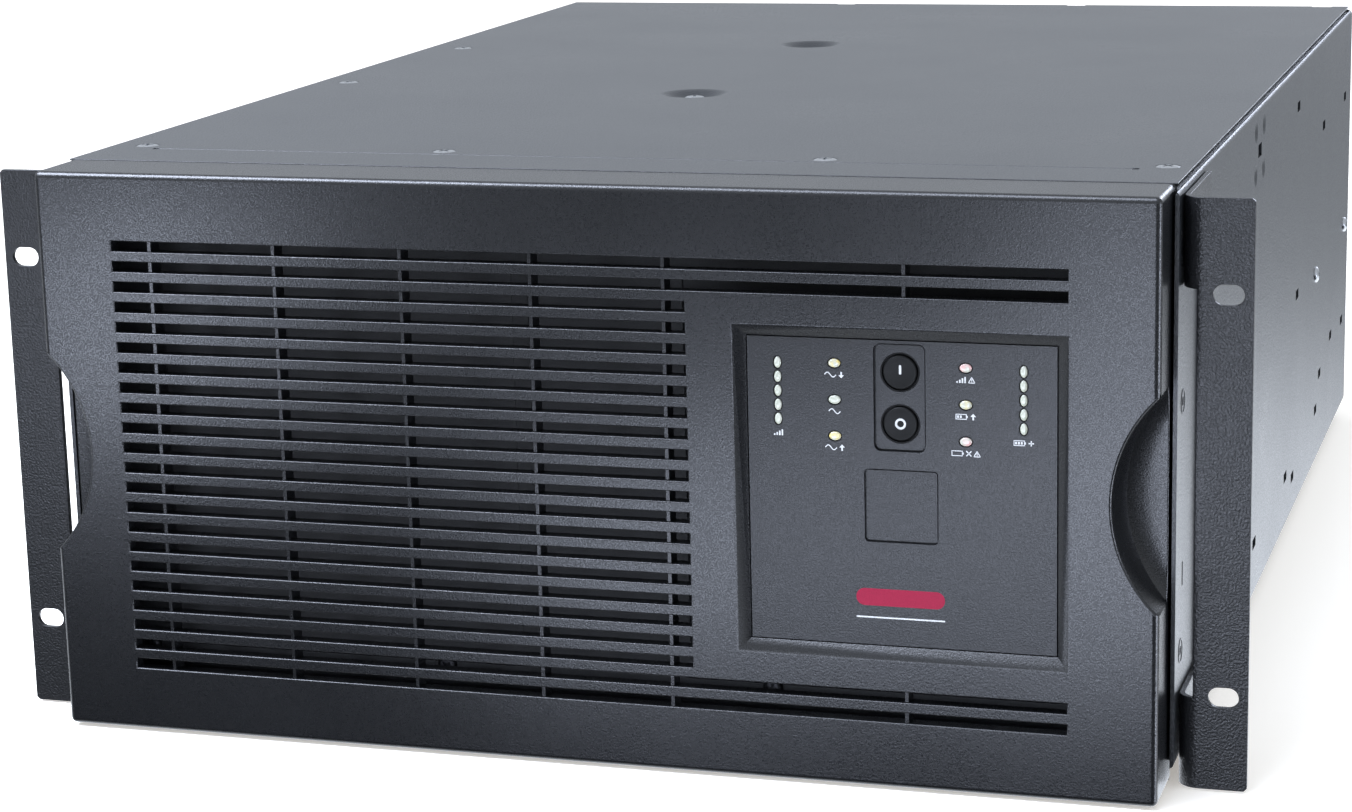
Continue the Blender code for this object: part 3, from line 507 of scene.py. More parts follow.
def make_materials():
    grained("bezel_plastic", (0.0026, 0.0029, 0.0036), 0.30, 0.64, 0.027, contrast=0.6,
            glints=0.06)
    grained("panel_plastic", (0.0034, 0.0038, 0.0046), 0.36, 0.62, 0.032, contrast=0.6,
            glints=0.06, Specular_IOR_Level=0.42)
    # Near-black paint, darker than the case's own, for the parts seen through the bezel's slots:
    # painted shade inside the slots.
    grained("inner_paint", (0.018, 0.0185, 0.0200), 0.6, 1.0, 0.03, "case_paint")
    # Near-black paint for the sleeves and collars in the display's holes: painted shade on the
    # holes' walls.
    grained("sleeve_plastic", (0.0022, 0.0022, 0.0024), 0.55, 0.6, 0.01, "panel_plastic",
            Specular_IOR_Level=0.15)
    grained("button_gloss", (0.0032, 0.0034, 0.0034), 0.46, 0.5, 0.004, "button_rubber",
            Specular_IOR_Level=0.16)
    grained("ear_powder", (0.0034, 0.0037, 0.0044), 0.36, 0.85, 0.10, contrast=0.6, glints=0.07)
    grained("case_paint", (0.0105, 0.0118, 0.0138), 0.32, 0.9, 0.070, contrast=0.35, glints=0.04)
    grained("foot_rubber", (0.013, 0.013, 0.0135), 0.82, 0.5, 0.03)
    grained("black_plastic", (0.014, 0.014, 0.015), 0.42, 0.7, 0.02)
    grained("connector_grey", (0.20, 0.20, 0.21), 0.48, 0.6, 0.02)
    # The battery cases get a painted sheen along their edges.
    grained("battery_case", (0.040, 0.042, 0.045), 0.50, 0.8, 0.03, edge_sheen=0.2)
    grained("terminal_red", (0.42, 0.02, 0.015), 0.42, 0.7, 0.02, "battery_case")
    grained("button_red", (0.30, 0.012, 0.010), 0.38, 0.7, 0.01, "connector_grey")
    metal("inner_steel", (0.30, 0.305, 0.31), 0.44, (0.08, 1, 1))
    metal("screw_steel", (0.42, 0.43, 0.44), 0.28, slot="bright_steel")
    metal("black_oxide", (0.035, 0.035, 0.038), 0.42, slot="bright_steel")
    metal("bright_steel", (0.64, 0.64, 0.65), 0.22, (0.2, 1, 1))
    metal("brass_stud", (0.74, 0.55, 0.24), 0.30, (1, 0.3, 1))
    metal("heat_sink_aluminium", (0.66, 0.67, 0.68), 0.38, (1, 0.04, 1))
    pearl("lens_white", (0.25, 0.265, 0.22))
    pearl("lens_yellow", (0.38, 0.31, 0.10))
    pearl("lens_pink", (0.36, 0.23, 0.22))
    printed("print_white", (0.36, 0.37, 0.38))
    printed("print_red", (0.175, 0.006, 0.026), Specular_IOR_Level=0.12)
    make_circuit_board()
    make_core_steel()
    make_winding_tape()
    make_webbing()


def make_circuit_board():
    """Green solder mask over tracks that run both ways."""
    paint = Paint("circuit_board", "circuit_board", 0.35, Coat_Weight=0.4, Coat_Roughness=0.2)
    across = paint.remap(paint.bands("X", 2.6), 0.72, 0.80)
    along = paint.remap(paint.bands("Y", 3.4), 0.78, 0.86)
    area = paint.remap(paint.noise(18, 1.0), 0.46, 0.50)
    tracks = paint.math("MAXIMUM", paint.math("MULTIPLY", across, area),
                        paint.math("SUBTRACT", along, area))
    paint.colour((0.006, 0.075, 0.028), (0.018, 0.16, 0.060), tracks)
    paint.bump(tracks, 0.03)


def make_core_steel():
    """Varnished laminations, stacked front to back."""
    paint = Paint("core_steel", "core_steel", 0.5, 0.8)
    sheets = paint.bands("Y", 0.7)
    paint.colour((0.09, 0.09, 0.10), (0.26, 0.26, 0.27),
                 paint.math("MULTIPLY", sheets, paint.noise(9, 3.0)))
    paint.bump(sheets, 0.05)


def make_winding_tape():
    """Overlapping turns of amber tape."""
    paint = Paint("winding_tape", "winding_tape", 0.42, Coat_Weight=0.3)
    turns = paint.bands("Z", 9.0)
    paint.colour((0.34, 0.20, 0.045), (0.62, 0.42, 0.12),
                 paint.math("MULTIPLY", turns, paint.noise(14, 2.0)))
    paint.bump(turns, 0.25)


def make_webbing():
    paint = Paint("strap_webbing", "strap_webbing", 0.85, Sheen_Weight=0.4)
    weave = paint.math("MULTIPLY", paint.bands("X", 1.1), paint.bands("Z", 0.8))
    paint.colour((0.010, 0.010, 0.011), (0.050, 0.050, 0.053), weave)
    paint.bump(weave, 0.22)


def repaint_cad_nodes():
    """The inner pieces whose CAD shape is kept take their finished materials."""
    for paint, nodes in (
            ("inner_steel", ("bulkhead", "bay_divider")),
            ("circuit_board", ("main_board", "display_board")),
            ("heat_sink_aluminium", ("heat_sink_left", "heat_sink_right")),
            ("core_steel", ("transformer_core",)),
            ("winding_tape", ("transformer_coil",)),
            ("black_plastic", ("test_switch", "off_switch", "capacitor_front",
                               "capacitor_middle", "capacitor_rear")),
            ("connector_grey", ("bay_connector_left", "bay_connector_right"))):
        for node in nodes:
            coat(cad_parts[node].data, paint)


# Bezel ------------------------------------------------------------------------------------

BEZEL_HALF = BEZEL.right
BEZEL_DEPTH = 30.7
WALL = 2.6
PLATE = 5.4
RIM_ROUND = 2.4
ROWS = 22
FULL_ROWS = (0, 1, 20, 21)
ROW_TOP = 193.3
ROW_PITCH = 7.79
ROW_HEIGHT = 3.9
SLOT_LEFT = -182.2
SHORT_RIGHT = 42.9
FULL_RIGHT = 180.9
RIB_DEPTH = 3.0
RIB_INSET = 1.1
RIB_WIDTH = 1.3
RIBS = [-166.9 + 50.4 * k for k in range(5)]
RIB_SINGLE = 122.8
GRIP_Z = 110.6
GRIP_HALF = 39.0
GRIP_REACH = 17.0
GRIP_DEPTH = 20.0
RECESS = 121.0
HOLE = 112.6
HOOKS = (-150, 150)
RIB_PASS = 3
RIB_CLEAR = RECESS / 2 + 1.2
BEZEL_TOP = BEZEL.top + 0.9


def grip_outline(side, half, reach, clip):
    """A bow that bites in from the bezel's side, cut off at clip."""
    steps = 40
    radius = (half ** 2 + reach ** 2) / (2 * reach)
    centre = BEZEL_HALF - reach + radius
    spread = math.acos((centre - clip) / radius)
    return [(side * (centre - radius * math.cos(spread * (2 * k / steps - 1))),
             GRIP_Z + radius * math.sin(spread * (2 * k / steps - 1))) for k in range(steps + 1)]


def row_span(row):
    top = ROW_TOP - row * ROW_PITCH
    return top - ROW_HEIGHT, top


def in_slot(x, z):
    for row in range(ROWS):
        low, high = row_span(row)
        right = FULL_RIGHT if row in FULL_ROWS else SHORT_RIGHT
        if low < z < high and SLOT_LEFT < x < right:
            return True
    return False


def in_rib(x, z):
    low = row_span(ROWS - 1)[0] - RIB_PASS
    high = ROW_TOP + RIB_PASS
    if not low < z < high:
        return False
    if any(abs(x - rib) < RIB_WIDTH / 2 for rib in RIBS):
        return True
    beside_display = abs(z - PANEL.z) < RIB_CLEAR
    return abs(x - RIB_SINGLE) < RIB_WIDTH / 2 and not beside_display


def bezel_edge_width(middle, along_depth):
    """How far an edge of the bezel is rounded, from where it lies."""
    at_side = abs(abs(middle.x) - BEZEL_HALF) < 0.05
    at_rim = at_side or min(abs(middle.z - BEZEL_TOP), abs(middle.z - BEZEL.bottom)) < 0.05
    in_grip = abs(middle.z - GRIP_Z) < GRIP_HALF + 0.5 and abs(middle.x) > BEZEL_HALF - 20
    if along_depth:
        if at_side and in_grip:
            return 0.9
        return RIM_ROUND if at_rim and at_side else 0.0
    if abs(middle.y - FRONT) < 0.05:
        if at_rim:
            return RIM_ROUND
        return 0.9 if in_grip else 0.45
    if at_rim and middle.y > FRONT + GRIP_DEPTH - 2:
        return 0.5 if in_grip else 0.3
    return 0.0


def weigh_edges(thing, widest, rule):
    """Merge faces that lie in one plane, then give each sharp edge its bevel weight."""
    bm = bmesh.new()
    bm.from_mesh(thing.data)
    bmesh.ops.dissolve_limit(bm, angle_limit=math.radians(0.3), verts=bm.verts, edges=bm.edges)
    layer = bm.edges.layers.float.new("bevel_weight_edge")
    for edge in bm.edges:
        if len(edge.link_faces) != 2 or edge.calc_face_angle(0) < SHARP:
            continue
        a, b = (vertex.co / MM for vertex in edge.verts)
        along_depth = abs((b - a).normalized().y) > 0.8
        edge[layer] = rule((a + b) / 2, along_depth) / widest
    bm.to_mesh(thing.data)
    bm.free()


def make_bezel():
    low = BEZEL.bottom + WALL
    high = BEZEL_TOP - WALL
    inner = BEZEL_HALF - WALL
    xs = [-BEZEL_HALF, -inner, SLOT_LEFT, SHORT_RIGHT, FULL_RIGHT, inner, BEZEL_HALF]
    for rib in RIBS + [RIB_SINGLE]:
        xs += [rib - RIB_WIDTH / 2, rib + RIB_WIDTH / 2]
    zs = [BEZEL.bottom, low, high, BEZEL_TOP, ROW_TOP + RIB_PASS,
          row_span(ROWS - 1)[0] - RIB_PASS, PANEL.z - RIB_CLEAR, PANEL.z + RIB_CLEAR]
    for row in range(ROWS):
        zs += row_span(row)
    ys = [FRONT, FRONT + RIB_INSET, FRONT + PLATE, FRONT + PLATE + RIB_DEPTH,
          FRONT + BEZEL_DEPTH]

    def filled(x, y, z):
        if abs(x) > inner or not low < z < high:
            return True
        if y < FRONT + PLATE and not in_slot(x, z):
            return True
        return FRONT + RIB_INSET < y < FRONT + PLATE + RIB_DEPTH and in_rib(x, z)

    bezel = grid_solid("bezel_shell", sorted(xs), ys, sorted(zs), filled)
    merge(bezel, *[prism("Y", grip_outline(side, GRIP_HALF + 2.4, GRIP_REACH + 2.4,
                                           BEZEL_HALF - 0.4),
                         FRONT + 1, FRONT + GRIP_DEPTH + 3) for side in (-1, 1)])
    clip = BEZEL_HALF + 5
    bowl = ((-1.0, 1.0, GRIP_REACH), (19.3, 1.0, 14.5), (19.8, 0.97, 13.0),
            (20.3, 0.93, 11.0), (20.7, 0.87, 8.6), (21.0, 0.80, 6.2), (21.1, 0.70, 3.6))
    carve(bezel, *[("Y", [(FRONT + depth, grip_outline(side, GRIP_HALF * share, reach, clip))
                          for depth, share, reach in bowl]) for side in (-1, 1)])
    sleeve = (PANEL.width + 7) / 2
    merge(bezel, prism("Y", centred(PANEL.x, PANEL.z, 2 * sleeve, 2 * sleeve), FRONT + 2,
                       PANEL.back - 1))
    flare = RECESS + (RECESS - HOLE) * 0.5 / (PANEL.front - FRONT)
    carve(bezel, ("Y", [(FRONT - 0.5, centred(PANEL.x, PANEL.z, flare, flare)),
                        (PANEL.front, centred(PANEL.x, PANEL.z, HOLE, HOLE)),
                        (BEZEL.back, centred(PANEL.x, PANEL.z, HOLE, HOLE))]))
    merge(bezel, *[block((x - 7, x + 7), (FRAME.front - 12, FRAME.front - 1.2),
                         (210.6, high + 0.6)) for x in HOOKS])
    merge(bezel, *[block((x - 6, x + 6), (FRAME.front - 2, FRAME.front + 8), (210.9, 212.8))
                   for x in HOOKS])
    weigh_edges(bezel, RIM_ROUND, bezel_edge_width)
    soften(bezel, RIM_ROUND, segments=4, weighted=True)
    finish(bezel, "bezel_plastic", "bezel", "bezel")


# Display insert ---------------------------------------------------------------------------

PANEL_PLATE = 2.5
PAD_DEPTH = 1.3
# Each light pipe's number of lenses, and the width and height of each
PIPES = {"light_pipe_load": (5, 2.6, 4.2), "light_pipe_charge": (5, 2.6, 4.2),
         "light_pipe_status_left": (3, 4.4, 3.2), "light_pipe_status_right": (3, 4.4, 3.2)}
BUTTON_HOLE = 7.15
LABEL_Z = 105.4
LABEL_SIZE = 26.9


def lens_places(node):
    """Where a light pipe's lenses sit, top first, from its CAD box."""
    count, _, height = PIPES[node]
    pipe = Box(node)
    high = pipe.top - 1 - height / 2
    low = pipe.bottom + 1 + height / 2
    return [(pipe.x, high + (low - high) * k / (count - 1)) for k in range(count)]


def lens_rims(node, gap):
    _, width, height = PIPES[node]
    return [oval(a, b, width + gap, height + gap) for a, b in lens_places(node)]


def make_display_panel():
    face = PANEL.front
    x, z = PANEL.x, PANEL.z
    buttons = [Box("test_button"), Box("off_button")]
    panel = make("display_face", prism("Y", centred(x, z, PANEL.width, PANEL.height), face,
                                       PANEL.back))
    cavity = PANEL.width - 5
    carve(panel, prism("Y", centred(x, z, cavity, cavity), face + PANEL_PLATE, 0))
    pad_z = (buttons[0].z + buttons[1].z) / 2 + 0.3
    for a, b, width, height, corner, depth in (
            (buttons[0].x, pad_z, 18.8, 39.0, 2.5, PAD_DEPTH),
            (x, LABEL_Z, LABEL_SIZE, LABEL_SIZE, 1.6, 0.9)):
        carve(panel, prism("Y", rounded(a, b, width, height, corner), face - 1,
                           face + depth + 0.8))
        merge(panel, prism("Y", rounded(a, b, width - 1.1, height - 1.1, corner - 0.5),
                           face + depth, face + PANEL_PLATE - 0.1))
    holes = [circle(each.x, each.z, BUTTON_HOLE, 48) for each in buttons]
    for node in PIPES:
        holes += lens_rims(node, 0.8)
    carve(panel, *[prism("Y", hole, face - 1, face + PANEL_PLATE + 1) for hole in holes])
    finish(panel, "panel_plastic", "display", "display_panel", edge=0.18)
    # The near-black wells lining the button holes are painted shade on the holes' walls.
    for each, name in zip(buttons, ("test_well", "off_well")):
        well = ring(name, "Y", (each.x, each.z), BUTTON_HOLE - 0.03, BUTTON_HOLE - 0.55,
                    face + PAD_DEPTH + 0.12, face + PANEL_PLATE + 2.2, 0.1, (48, 48))
        finish(well, "sleeve_plastic", "display")


def make_lenses():
    """The lenses, and in the gap round each a near-black collar: painted shade in the gap."""
    dome = ((-0.42, 0.30), (-0.36, 0.55), (-0.24, 0.78), (-0.05, 0.94), (0.25, 1.0), (5.2, 1.0))
    colours = {"light_pipe_status_left": ("lens_yellow", "lens_white", "lens_yellow"),
               "light_pipe_status_right": ("lens_pink", "lens_yellow", "lens_pink")}
    collars = []
    for node, (count, width, height) in PIPES.items():
        lenses = []
        for (a, b), tint in zip(lens_places(node), colours.get(node, ("lens_white",) * count)):
            lens = make("lens", ("Y", [
                (PANEL.front + depth, oval(a, b, width * share, height * share, 28))
                for depth, share in dome]))
            coat(lens.data, tint)
            lenses.append(lens)
        finish(join(node + "_lenses", lenses), None, "display", node)
        for outer, inner in zip(lens_rims(node, 0.77), lens_rims(node, 0.16)):
            collars.append(plate("collar", "Y", outer, [inner], PANEL.front + 0.22,
                                 PANEL.front + 2.4, 0.03))
    finish(join("lens_sleeves", collars), "sleeve_plastic", "display")


def make_buttons():
    dish = ((0.55, 0.05), (0.50, 2.0), (0.36, 3.6), (0.14, 4.9), (0.0, 5.5), (0.06, 5.85),
            (0.32, 6.12), (0.8, 6.2))
    flange = PANEL.front + PANEL_PLATE + 0.5
    for node in ("test_button", "off_button"):
        button = Box(node)
        x, z = button.x, button.z
        profile = [(button.front + depth, radius) for depth, radius in dish]
        profile += [(flange, 6.2), (flange, 8.2), (flange + 0.8, 8.2), (flange + 0.8, 2.2),
                    (button.back, 2.2)]
        finish(make(node + "_cap", turned("Y", x, z, profile, 64)), "button_gloss", node, node)
        low = button.front + 0.34
        if node == "test_button":
            mark = plate("on_mark", "Y", rounded(x, z + 0.9, 0.85, 3.4, 0.3), [], low, low + 0.4,
                         0.05)
        else:
            mark = ring("off_mark", "Y", (x, z), 2.0, 1.2, low, low + 0.4, 0.05)
        finish(mark, "print_white", node)


# Printed signs: each is (width, outlines) about its own left edge and middle height

def stroke(points, width=0.34):
    """The outline of a line of the given width along points."""
    left = []
    right = []
    for index, point in enumerate(points):
        before = Vector(points[max(index - 1, 0)])
        after = Vector(points[min(index + 1, len(points) - 1)])
        way = (after - before).normalized() * (width / 2)
        left.append((point[0] - way.y, point[1] + way.x))
        right.append((point[0] + way.y, point[1] - way.x))
    return left + right[::-1]


def sign_arrow(way):
    return 2.0, [[(0, 0.1 * way), (2.0, 0.1 * way), (1.0, 1.2 * way)],
                 rect(0.72, 1.28, -1.1, 0.12) if way > 0 else rect(0.72, 1.28, -0.12, 1.1)]


def sign_battery(cells):
    case = [rect(0, 4.0, 0.72, 1.0), rect(0, 4.0, -1.0, -0.72), rect(0, 0.28, -0.8, 0.8),
            rect(3.72, 4.0, -0.8, 0.8), rect(3.95, 4.35, -0.4, 0.4)]
    return 4.4, case + [rect(0.55 + k, 1.2 + k, -0.45, 0.45) for k in range(cells)]


def sign_warning():
    tops = [(0, -1.0), (1.15, 1.0), (2.3, -1.0)]
    sides = [stroke([tops[k], tops[(k + 1) % 3]], 0.3) for k in range(3)]
    return 2.3, sides + [rect(1.0, 1.3, -0.35, 0.4), rect(1.0, 1.3, -0.72, -0.48)]


WAVE = 4.2, [stroke([(4.2 * k / 24, 0.85 * math.sin(TAU * k / 24)) for k in range(25)])]
STEPS = 3.4, [rect(0.95 * k, 0.95 * k + 0.55, -1.1, -0.5 + 0.53 * k) for k in range(4)]
CROSS = 1.8, [stroke([(0, -0.9), (1.8, 0.9)], 0.4), stroke([(0, 0.9), (1.8, -0.9)], 0.4)]
PLUS = 1.9, [rect(0, 1.9, -0.22, 0.22), rect(0.73, 1.17, -0.95, 0.95)]


def print_signs(name, x, z, signs):
    gap = 0.9
    cursor = x - (sum(width for width, _ in signs) + gap * (len(signs) - 1)) / 2
    shapes = []
    for width, outlines in signs:
        shapes += [prism("Y", [(cursor + a, z + b) for a, b in outline], PANEL.front - 0.04,
                         PANEL.front + 0.1) for outline in outlines]
        cursor += width + gap
    finish(make(name, *shapes), "print_white", "display")


def make_prints():
    status = "light_pipe_status_"
    for name, pipe, index, below, signs in (
            ("sign_step_down", status + "left", 0, 4.2, (WAVE, sign_arrow(-1))),
            ("sign_line_power", status + "left", 1, 4.2, (WAVE,)),
            ("sign_step_up", status + "left", 2, 4.2, (WAVE, sign_arrow(1))),
            ("sign_overload", status + "right", 0, 4.2, (STEPS, sign_warning())),
            ("sign_on_battery", status + "right", 1, 4.2, (sign_battery(2), sign_arrow(1))),
            ("sign_replace_battery", status + "right", 2, 4.2,
             (sign_battery(0), CROSS, sign_warning())),
            ("sign_load", "light_pipe_load", 4, 5.0, (STEPS,)),
            ("sign_charge", "light_pipe_charge", 4, 5.0, (sign_battery(3), PLUS))):
        x, z = lens_places(pipe)[index]
        print_signs(name, x, z - below, signs)
    face = PANEL.front
    x = PANEL.x - 0.6
    stripe = plate("red_stripe", "Y", rounded(x, 71.5, 32.5, 6.4, 3.1), [], face - 0.05,
                   face + 0.15, 0.04)
    finish(stripe, "print_red", "display")
    rule = make("white_rule", prism("Y", rounded(x, 64.0, 32.5, 0.55, 0.25), face - 0.04,
                                    face + 0.1))
    finish(rule, "print_white", "display")


# Fasteners --------------------------------------------------------------------------------

def make_screw(name, head=7.6, height=2.0, recess=1.1, paint="screw_steel"):
    """A pan head with a cross recess, standing up from z = 0, for add_screws to share."""
    radius = head / 2
    profile = [(-0.6, radius * 0.6), (0.0, radius), (height * 0.35, radius),
               (height * 0.7, radius * 0.86), (height * 0.93, radius * 0.58),
               (height, radius * 0.3), (height, 0.02)]
    screw = make("screw", turned("Z", 0, 0, profile, 32))
    arm = radius * 0.55
    slot = 0.55
    quarter = [(slot, slot), (arm, slot), (arm, -slot)]
    cross = []
    for _ in range(4):
        cross += quarter
        quarter = [(b, -a) for a, b in quarter]
    carve(screw, prism("Z", cross, height - recess, height + 1))
    smooth(screw.data, 40)
    coat(screw.data, paint)
    SCREWS[name] = screw.data
    bpy.data.objects.remove(screw)


SCREWS = {}
TURNS = {"+Z": Matrix.Identity(4),
         "-Y": Matrix.Rotation(math.pi / 2, 4, "X"), "+Y": Matrix.Rotation(-math.pi / 2, 4, "X"),
         "+X": Matrix.Rotation(math.pi / 2, 4, "Y"), "-X": Matrix.Rotation(-math.pi / 2, 4, "Y")}


def add_screws(name, kind, facing, places, body="chassis"):
    """A screw at each place, each turned a little differently about its own axis."""
    for index, spot in enumerate(places):
        screw = link(f"{name}_{index + 1}", SCREWS[kind])
        twist = Matrix.Rotation(0.7 * index + 0.3, 4, "Z")
        screw.matrix_world = Matrix.Translation(Vector(spot) * MM) @ TURNS[facing] @ twist
        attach(screw, body)


# Case -------------------------------------------------------------------------------------

SIDES = ((-1, "left"), (1, "right"))
SHEET = 1.5
BEND = 2.0
FLANGE = 15.0
COVER_HALF = COVER.right - 0.9
COVER_TOP = COVER.top
SIDE_HOLES = [(391, 199), (504, 175), (607, 176), (398, 111), (612, 57), (556, 60), (505, 51),
              (489, 36), (362, 33), (391, 26), (249, 32)]
SIDE_SCREWS = [(612, 108), (476, 106)]
SIDE_HOLE_SIZE = (10.5, 4.4)
TILT_HOLE = (248, 199.6)
TILT_HOLE_SIZE = (11, 5.4)
DIMPLES = [(TILT_HOLE[0] + dy, TILT_HOLE[1] + dz) for dy in (-13, 13) for dz in (-9, 9)]
WINDOW_SLIT = (38, 77)
WINDOW_SLIT_SIZE = (2.4, 9)
WINDOW_NUTS = [(35, 141), (35, 49)]
DISHES = [(-28.0, 251.5), (-26.0, 441.5)]
TOP_SCREWS = [(-199.5, 70), (-74, 70.5), (77.5, 69.5), (204.5, 69.5), (-199, 273), (-195.5, 410)]
REAR_NOTCHES = (-57, 70, 200)


def make_base_pan():
    """Floor, sides and in-turned top flanges folded from one sheet."""
    half = PAN.right
    tip = half - FLANGE
    inner = half - SHEET
    top = PAN.top
    floor = PAN.bottom + SHEET
    outer = [(-tip, top), (-half, top), (-half, PAN.bottom), (half, PAN.bottom), (half, top),
             (tip, top)]
    inside = [(tip, top - SHEET), (inner, top - SHEET), (inner, floor), (-inner, floor),
              (-inner, top - SHEET), (-tip, top - SHEET)]
    fold = BEND - SHEET
    section = fillet(outer + inside, [0] + [BEND] * 4 + [0, 0] + [fold] * 4 + [0], steps=6)
    pan = make("case_pan", prism("Y", section, PAN.front, PAN.back))
    carve(pan, block((-inner, inner), (PAN.front - 1, FRAME.front), (0, COVER_TOP + 1)))
    for side in (-1, 1):
        wall = span(side, half + 1, inner - 1)
        holes = [centred(FRONT + y, z, width, height)
                 for spots, (width, height) in ((SIDE_HOLES, SIDE_HOLE_SIZE),
                                                ([TILT_HOLE], TILT_HOLE_SIZE),
                                                ([WINDOW_SLIT], WINDOW_SLIT_SIZE))
                 for y, z in spots]
        holes += [circle(FRONT + y, z, 1.8, 20) for y, z in WINDOW_NUTS]
        carve(pan, *[prism("X", hole, *wall) for hole in holes])
        carve(pan, *[turned("X", FRONT + y, z, [(side * (half + 0.2), 5.2),
                                                (side * (half - 1.2), 2.4)], 28)
                     for y, z in DIMPLES])
    carve(pan, *[block(span(side, COVER_HALF - 0.6, COVER_HALF + 0.95),
                       (PAN.front - 1, PAN.back + 1), (top - 1.15, top + 1)) for side in (-1, 1)])
    soften(pan, 0.18, segments=2)
    finish(pan, "case_paint", "chassis", "base_pan")
    for side, tag in SIDES:
        for index, (y, z) in enumerate(WINDOW_NUTS):
            nut = ring(f"press_nut_{tag}_{index + 1}", "X", (FRONT + y, z), 4.6, 3.9,
                       *span(side, half - 0.1, half + 0.22), 0.08)
            finish(nut, "case_paint", "chassis")


def dish_levels(radius, depth):
    """Where a pressed dish's surface lies, from its rim to its floor."""
    steps = 10
    return [(-depth * (0.5 - 0.5 * math.cos(math.pi * k / steps)),
             radius - radius * 0.62 * k / steps) for k in range(steps + 1)]


def make_top_cover():
    """One sheet from the front edge to the back, with a slit near the front."""
    low = COVER.top - 1.2
    cover = make("lid", prism("Z", rect(-COVER_HALF, COVER_HALF, FRAME.front, COVER.back), low,
                              COVER_TOP))
    merge(cover, *[turned("Z", x, FRONT + y, [(low - 3.0, 8.5), (low + 0.3, 16.4)], 64)
                   for x, y in DISHES])
    dish = [(COVER_TOP + 1, 15.4)]
    dish += [(COVER_TOP + height, radius) for height, radius in dish_levels(15.4, 3.2)]
    carve(cover, *[turned("Z", x, FRONT + y, dish, 64) for x, y in DISHES])
    carve(cover, *[block((x - 5, x + 5), (COVER.back - 3.0, COVER.back + 1),
                         (low - 1, COVER_TOP + 1)) for x in REAR_NOTCHES])
    slit = [(-193.2, -1.6), (-190.8, -1.6), (-190.8, -0.3), (192.8, -0.3), (192.8, -1.6),
            (195.2, -1.6), (195.2, 1.6), (192.8, 1.6), (192.8, 0.35), (-190.8, 0.35),
            (-190.8, 1.6), (-193.2, 1.6)]
    carve(cover, prism("Z", [(x, COVER.front + y) for x, y in slit], low - 1, COVER_TOP + 1))
    carve(cover, *[turned("Z", x, FRONT + y, [(COVER_TOP - 0.7, 3.4), (COVER_TOP + 0.1, 5.2)], 32)
                   for x, y in TOP_SCREWS])
    for side in (-1, 1):
        carve(cover, block(span(side, COVER_HALF - 3, COVER_HALF + 1),
                           (FRAME.front - 1, COVER.back + 1), (low - 1, low + 0.6)))
    soften(cover, 0.22, segments=2)
    finish(cover, "case_paint", "chassis", "top_cover")


def make_front_frame():
    """The face behind the bezel, with the door's openings and slots for the bezel's hooks."""
    half = 213.4
    openings = [rounded(side * 105, 105, 202, 190, 6) for side in (-1, 1)]
    hooks = [rounded(x, 211.8, 18, 4.4, 1) for x in HOOKS]
    face = plate("door_frame", "Y", rect(-half, half, FRAME.bottom, COVER_TOP - 1.4),
                 openings + hooks, FRAME.front, FRAME.front + SHEET)
    # The frame's near-black paint is painted shade behind the bezel's slots.
    finish(face, "inner_paint", "chassis", "front_frame")


def make_ears():
    slot_x = 232.5
    spacing = 146.05
    sheet = 2.0
    for side, tag in SIDES:
        node = "rack_ear_" + tag
        ear = Box(node)
        inner, outer = sorted((abs(ear.left), abs(ear.right)))
        path = [(outer, ear.front), (inner, ear.front), (inner, ear.back),
                (inner + sheet, ear.back), (inner + sheet, ear.front + sheet),
                (outer, ear.front + sheet)]
        section = fillet(path, [0, 8, 0, 0, 6, 0], steps=12)
        angle = make(node + "_angle", prism("Z", [(side * x, y) for x, y in section],
                                            ear.bottom, ear.top))
        middle = (ear.top + ear.bottom) / 2 + 0.3
        slots = [rounded(side * slot_x, middle + dz, 10.9, 7.4, 3.69, 10)
                 for dz in (-spacing / 2, spacing / 2)]
        chamfers = [[(side * (outer + 1), z - way), (side * (outer + 1), z + way * 2.2),
                     (side * (outer - 2.2), z - way)]
                    for z, way in ((ear.top, -1), (ear.bottom, 1))]
        window = prism("Z", rect(*span(side, inner - 1, 221.5), ear.front - 1, FRONT + 70), 34.5,
                       183.0)
        depth = (ear.front - 1, ear.front + sheet + 1)
        carve(angle, window, *[prism("Y", slot, *depth) for slot in slots])
        carve(angle, *[prism("Y", chamfer, *depth) for chamfer in chamfers])
        finish(angle, "ear_powder", "chassis", node, edge=0.35)
        add_screws(node + "_screw", "side_screw", "+X" if side > 0 else "-X",
                   [(side * (inner + sheet), ear.back - 14, z) for z in (18, 200)])


def make_feet():
    profile = [(2.6, 0.05), (2.6, 4.2), (0.3, 4.8), (0.0, 5.2), (0.0, 9.6), (0.35, 10.4),
               (1.2, 11.2), (5.0, 12.3), (7.6, 12.5), (8.3, 12.1), (8.3, 0.05)]
    for node in ("foot_front_left", "foot_front_right", "foot_rear_left", "foot_rear_right"):
        foot = Box(node)
        finish(make(node + "_pad", turned("Z", foot.x, foot.y, profile, 56)), "foot_rubber",
               "chassis", node)


# Batteries behind the door ----------------------------------------------------------------

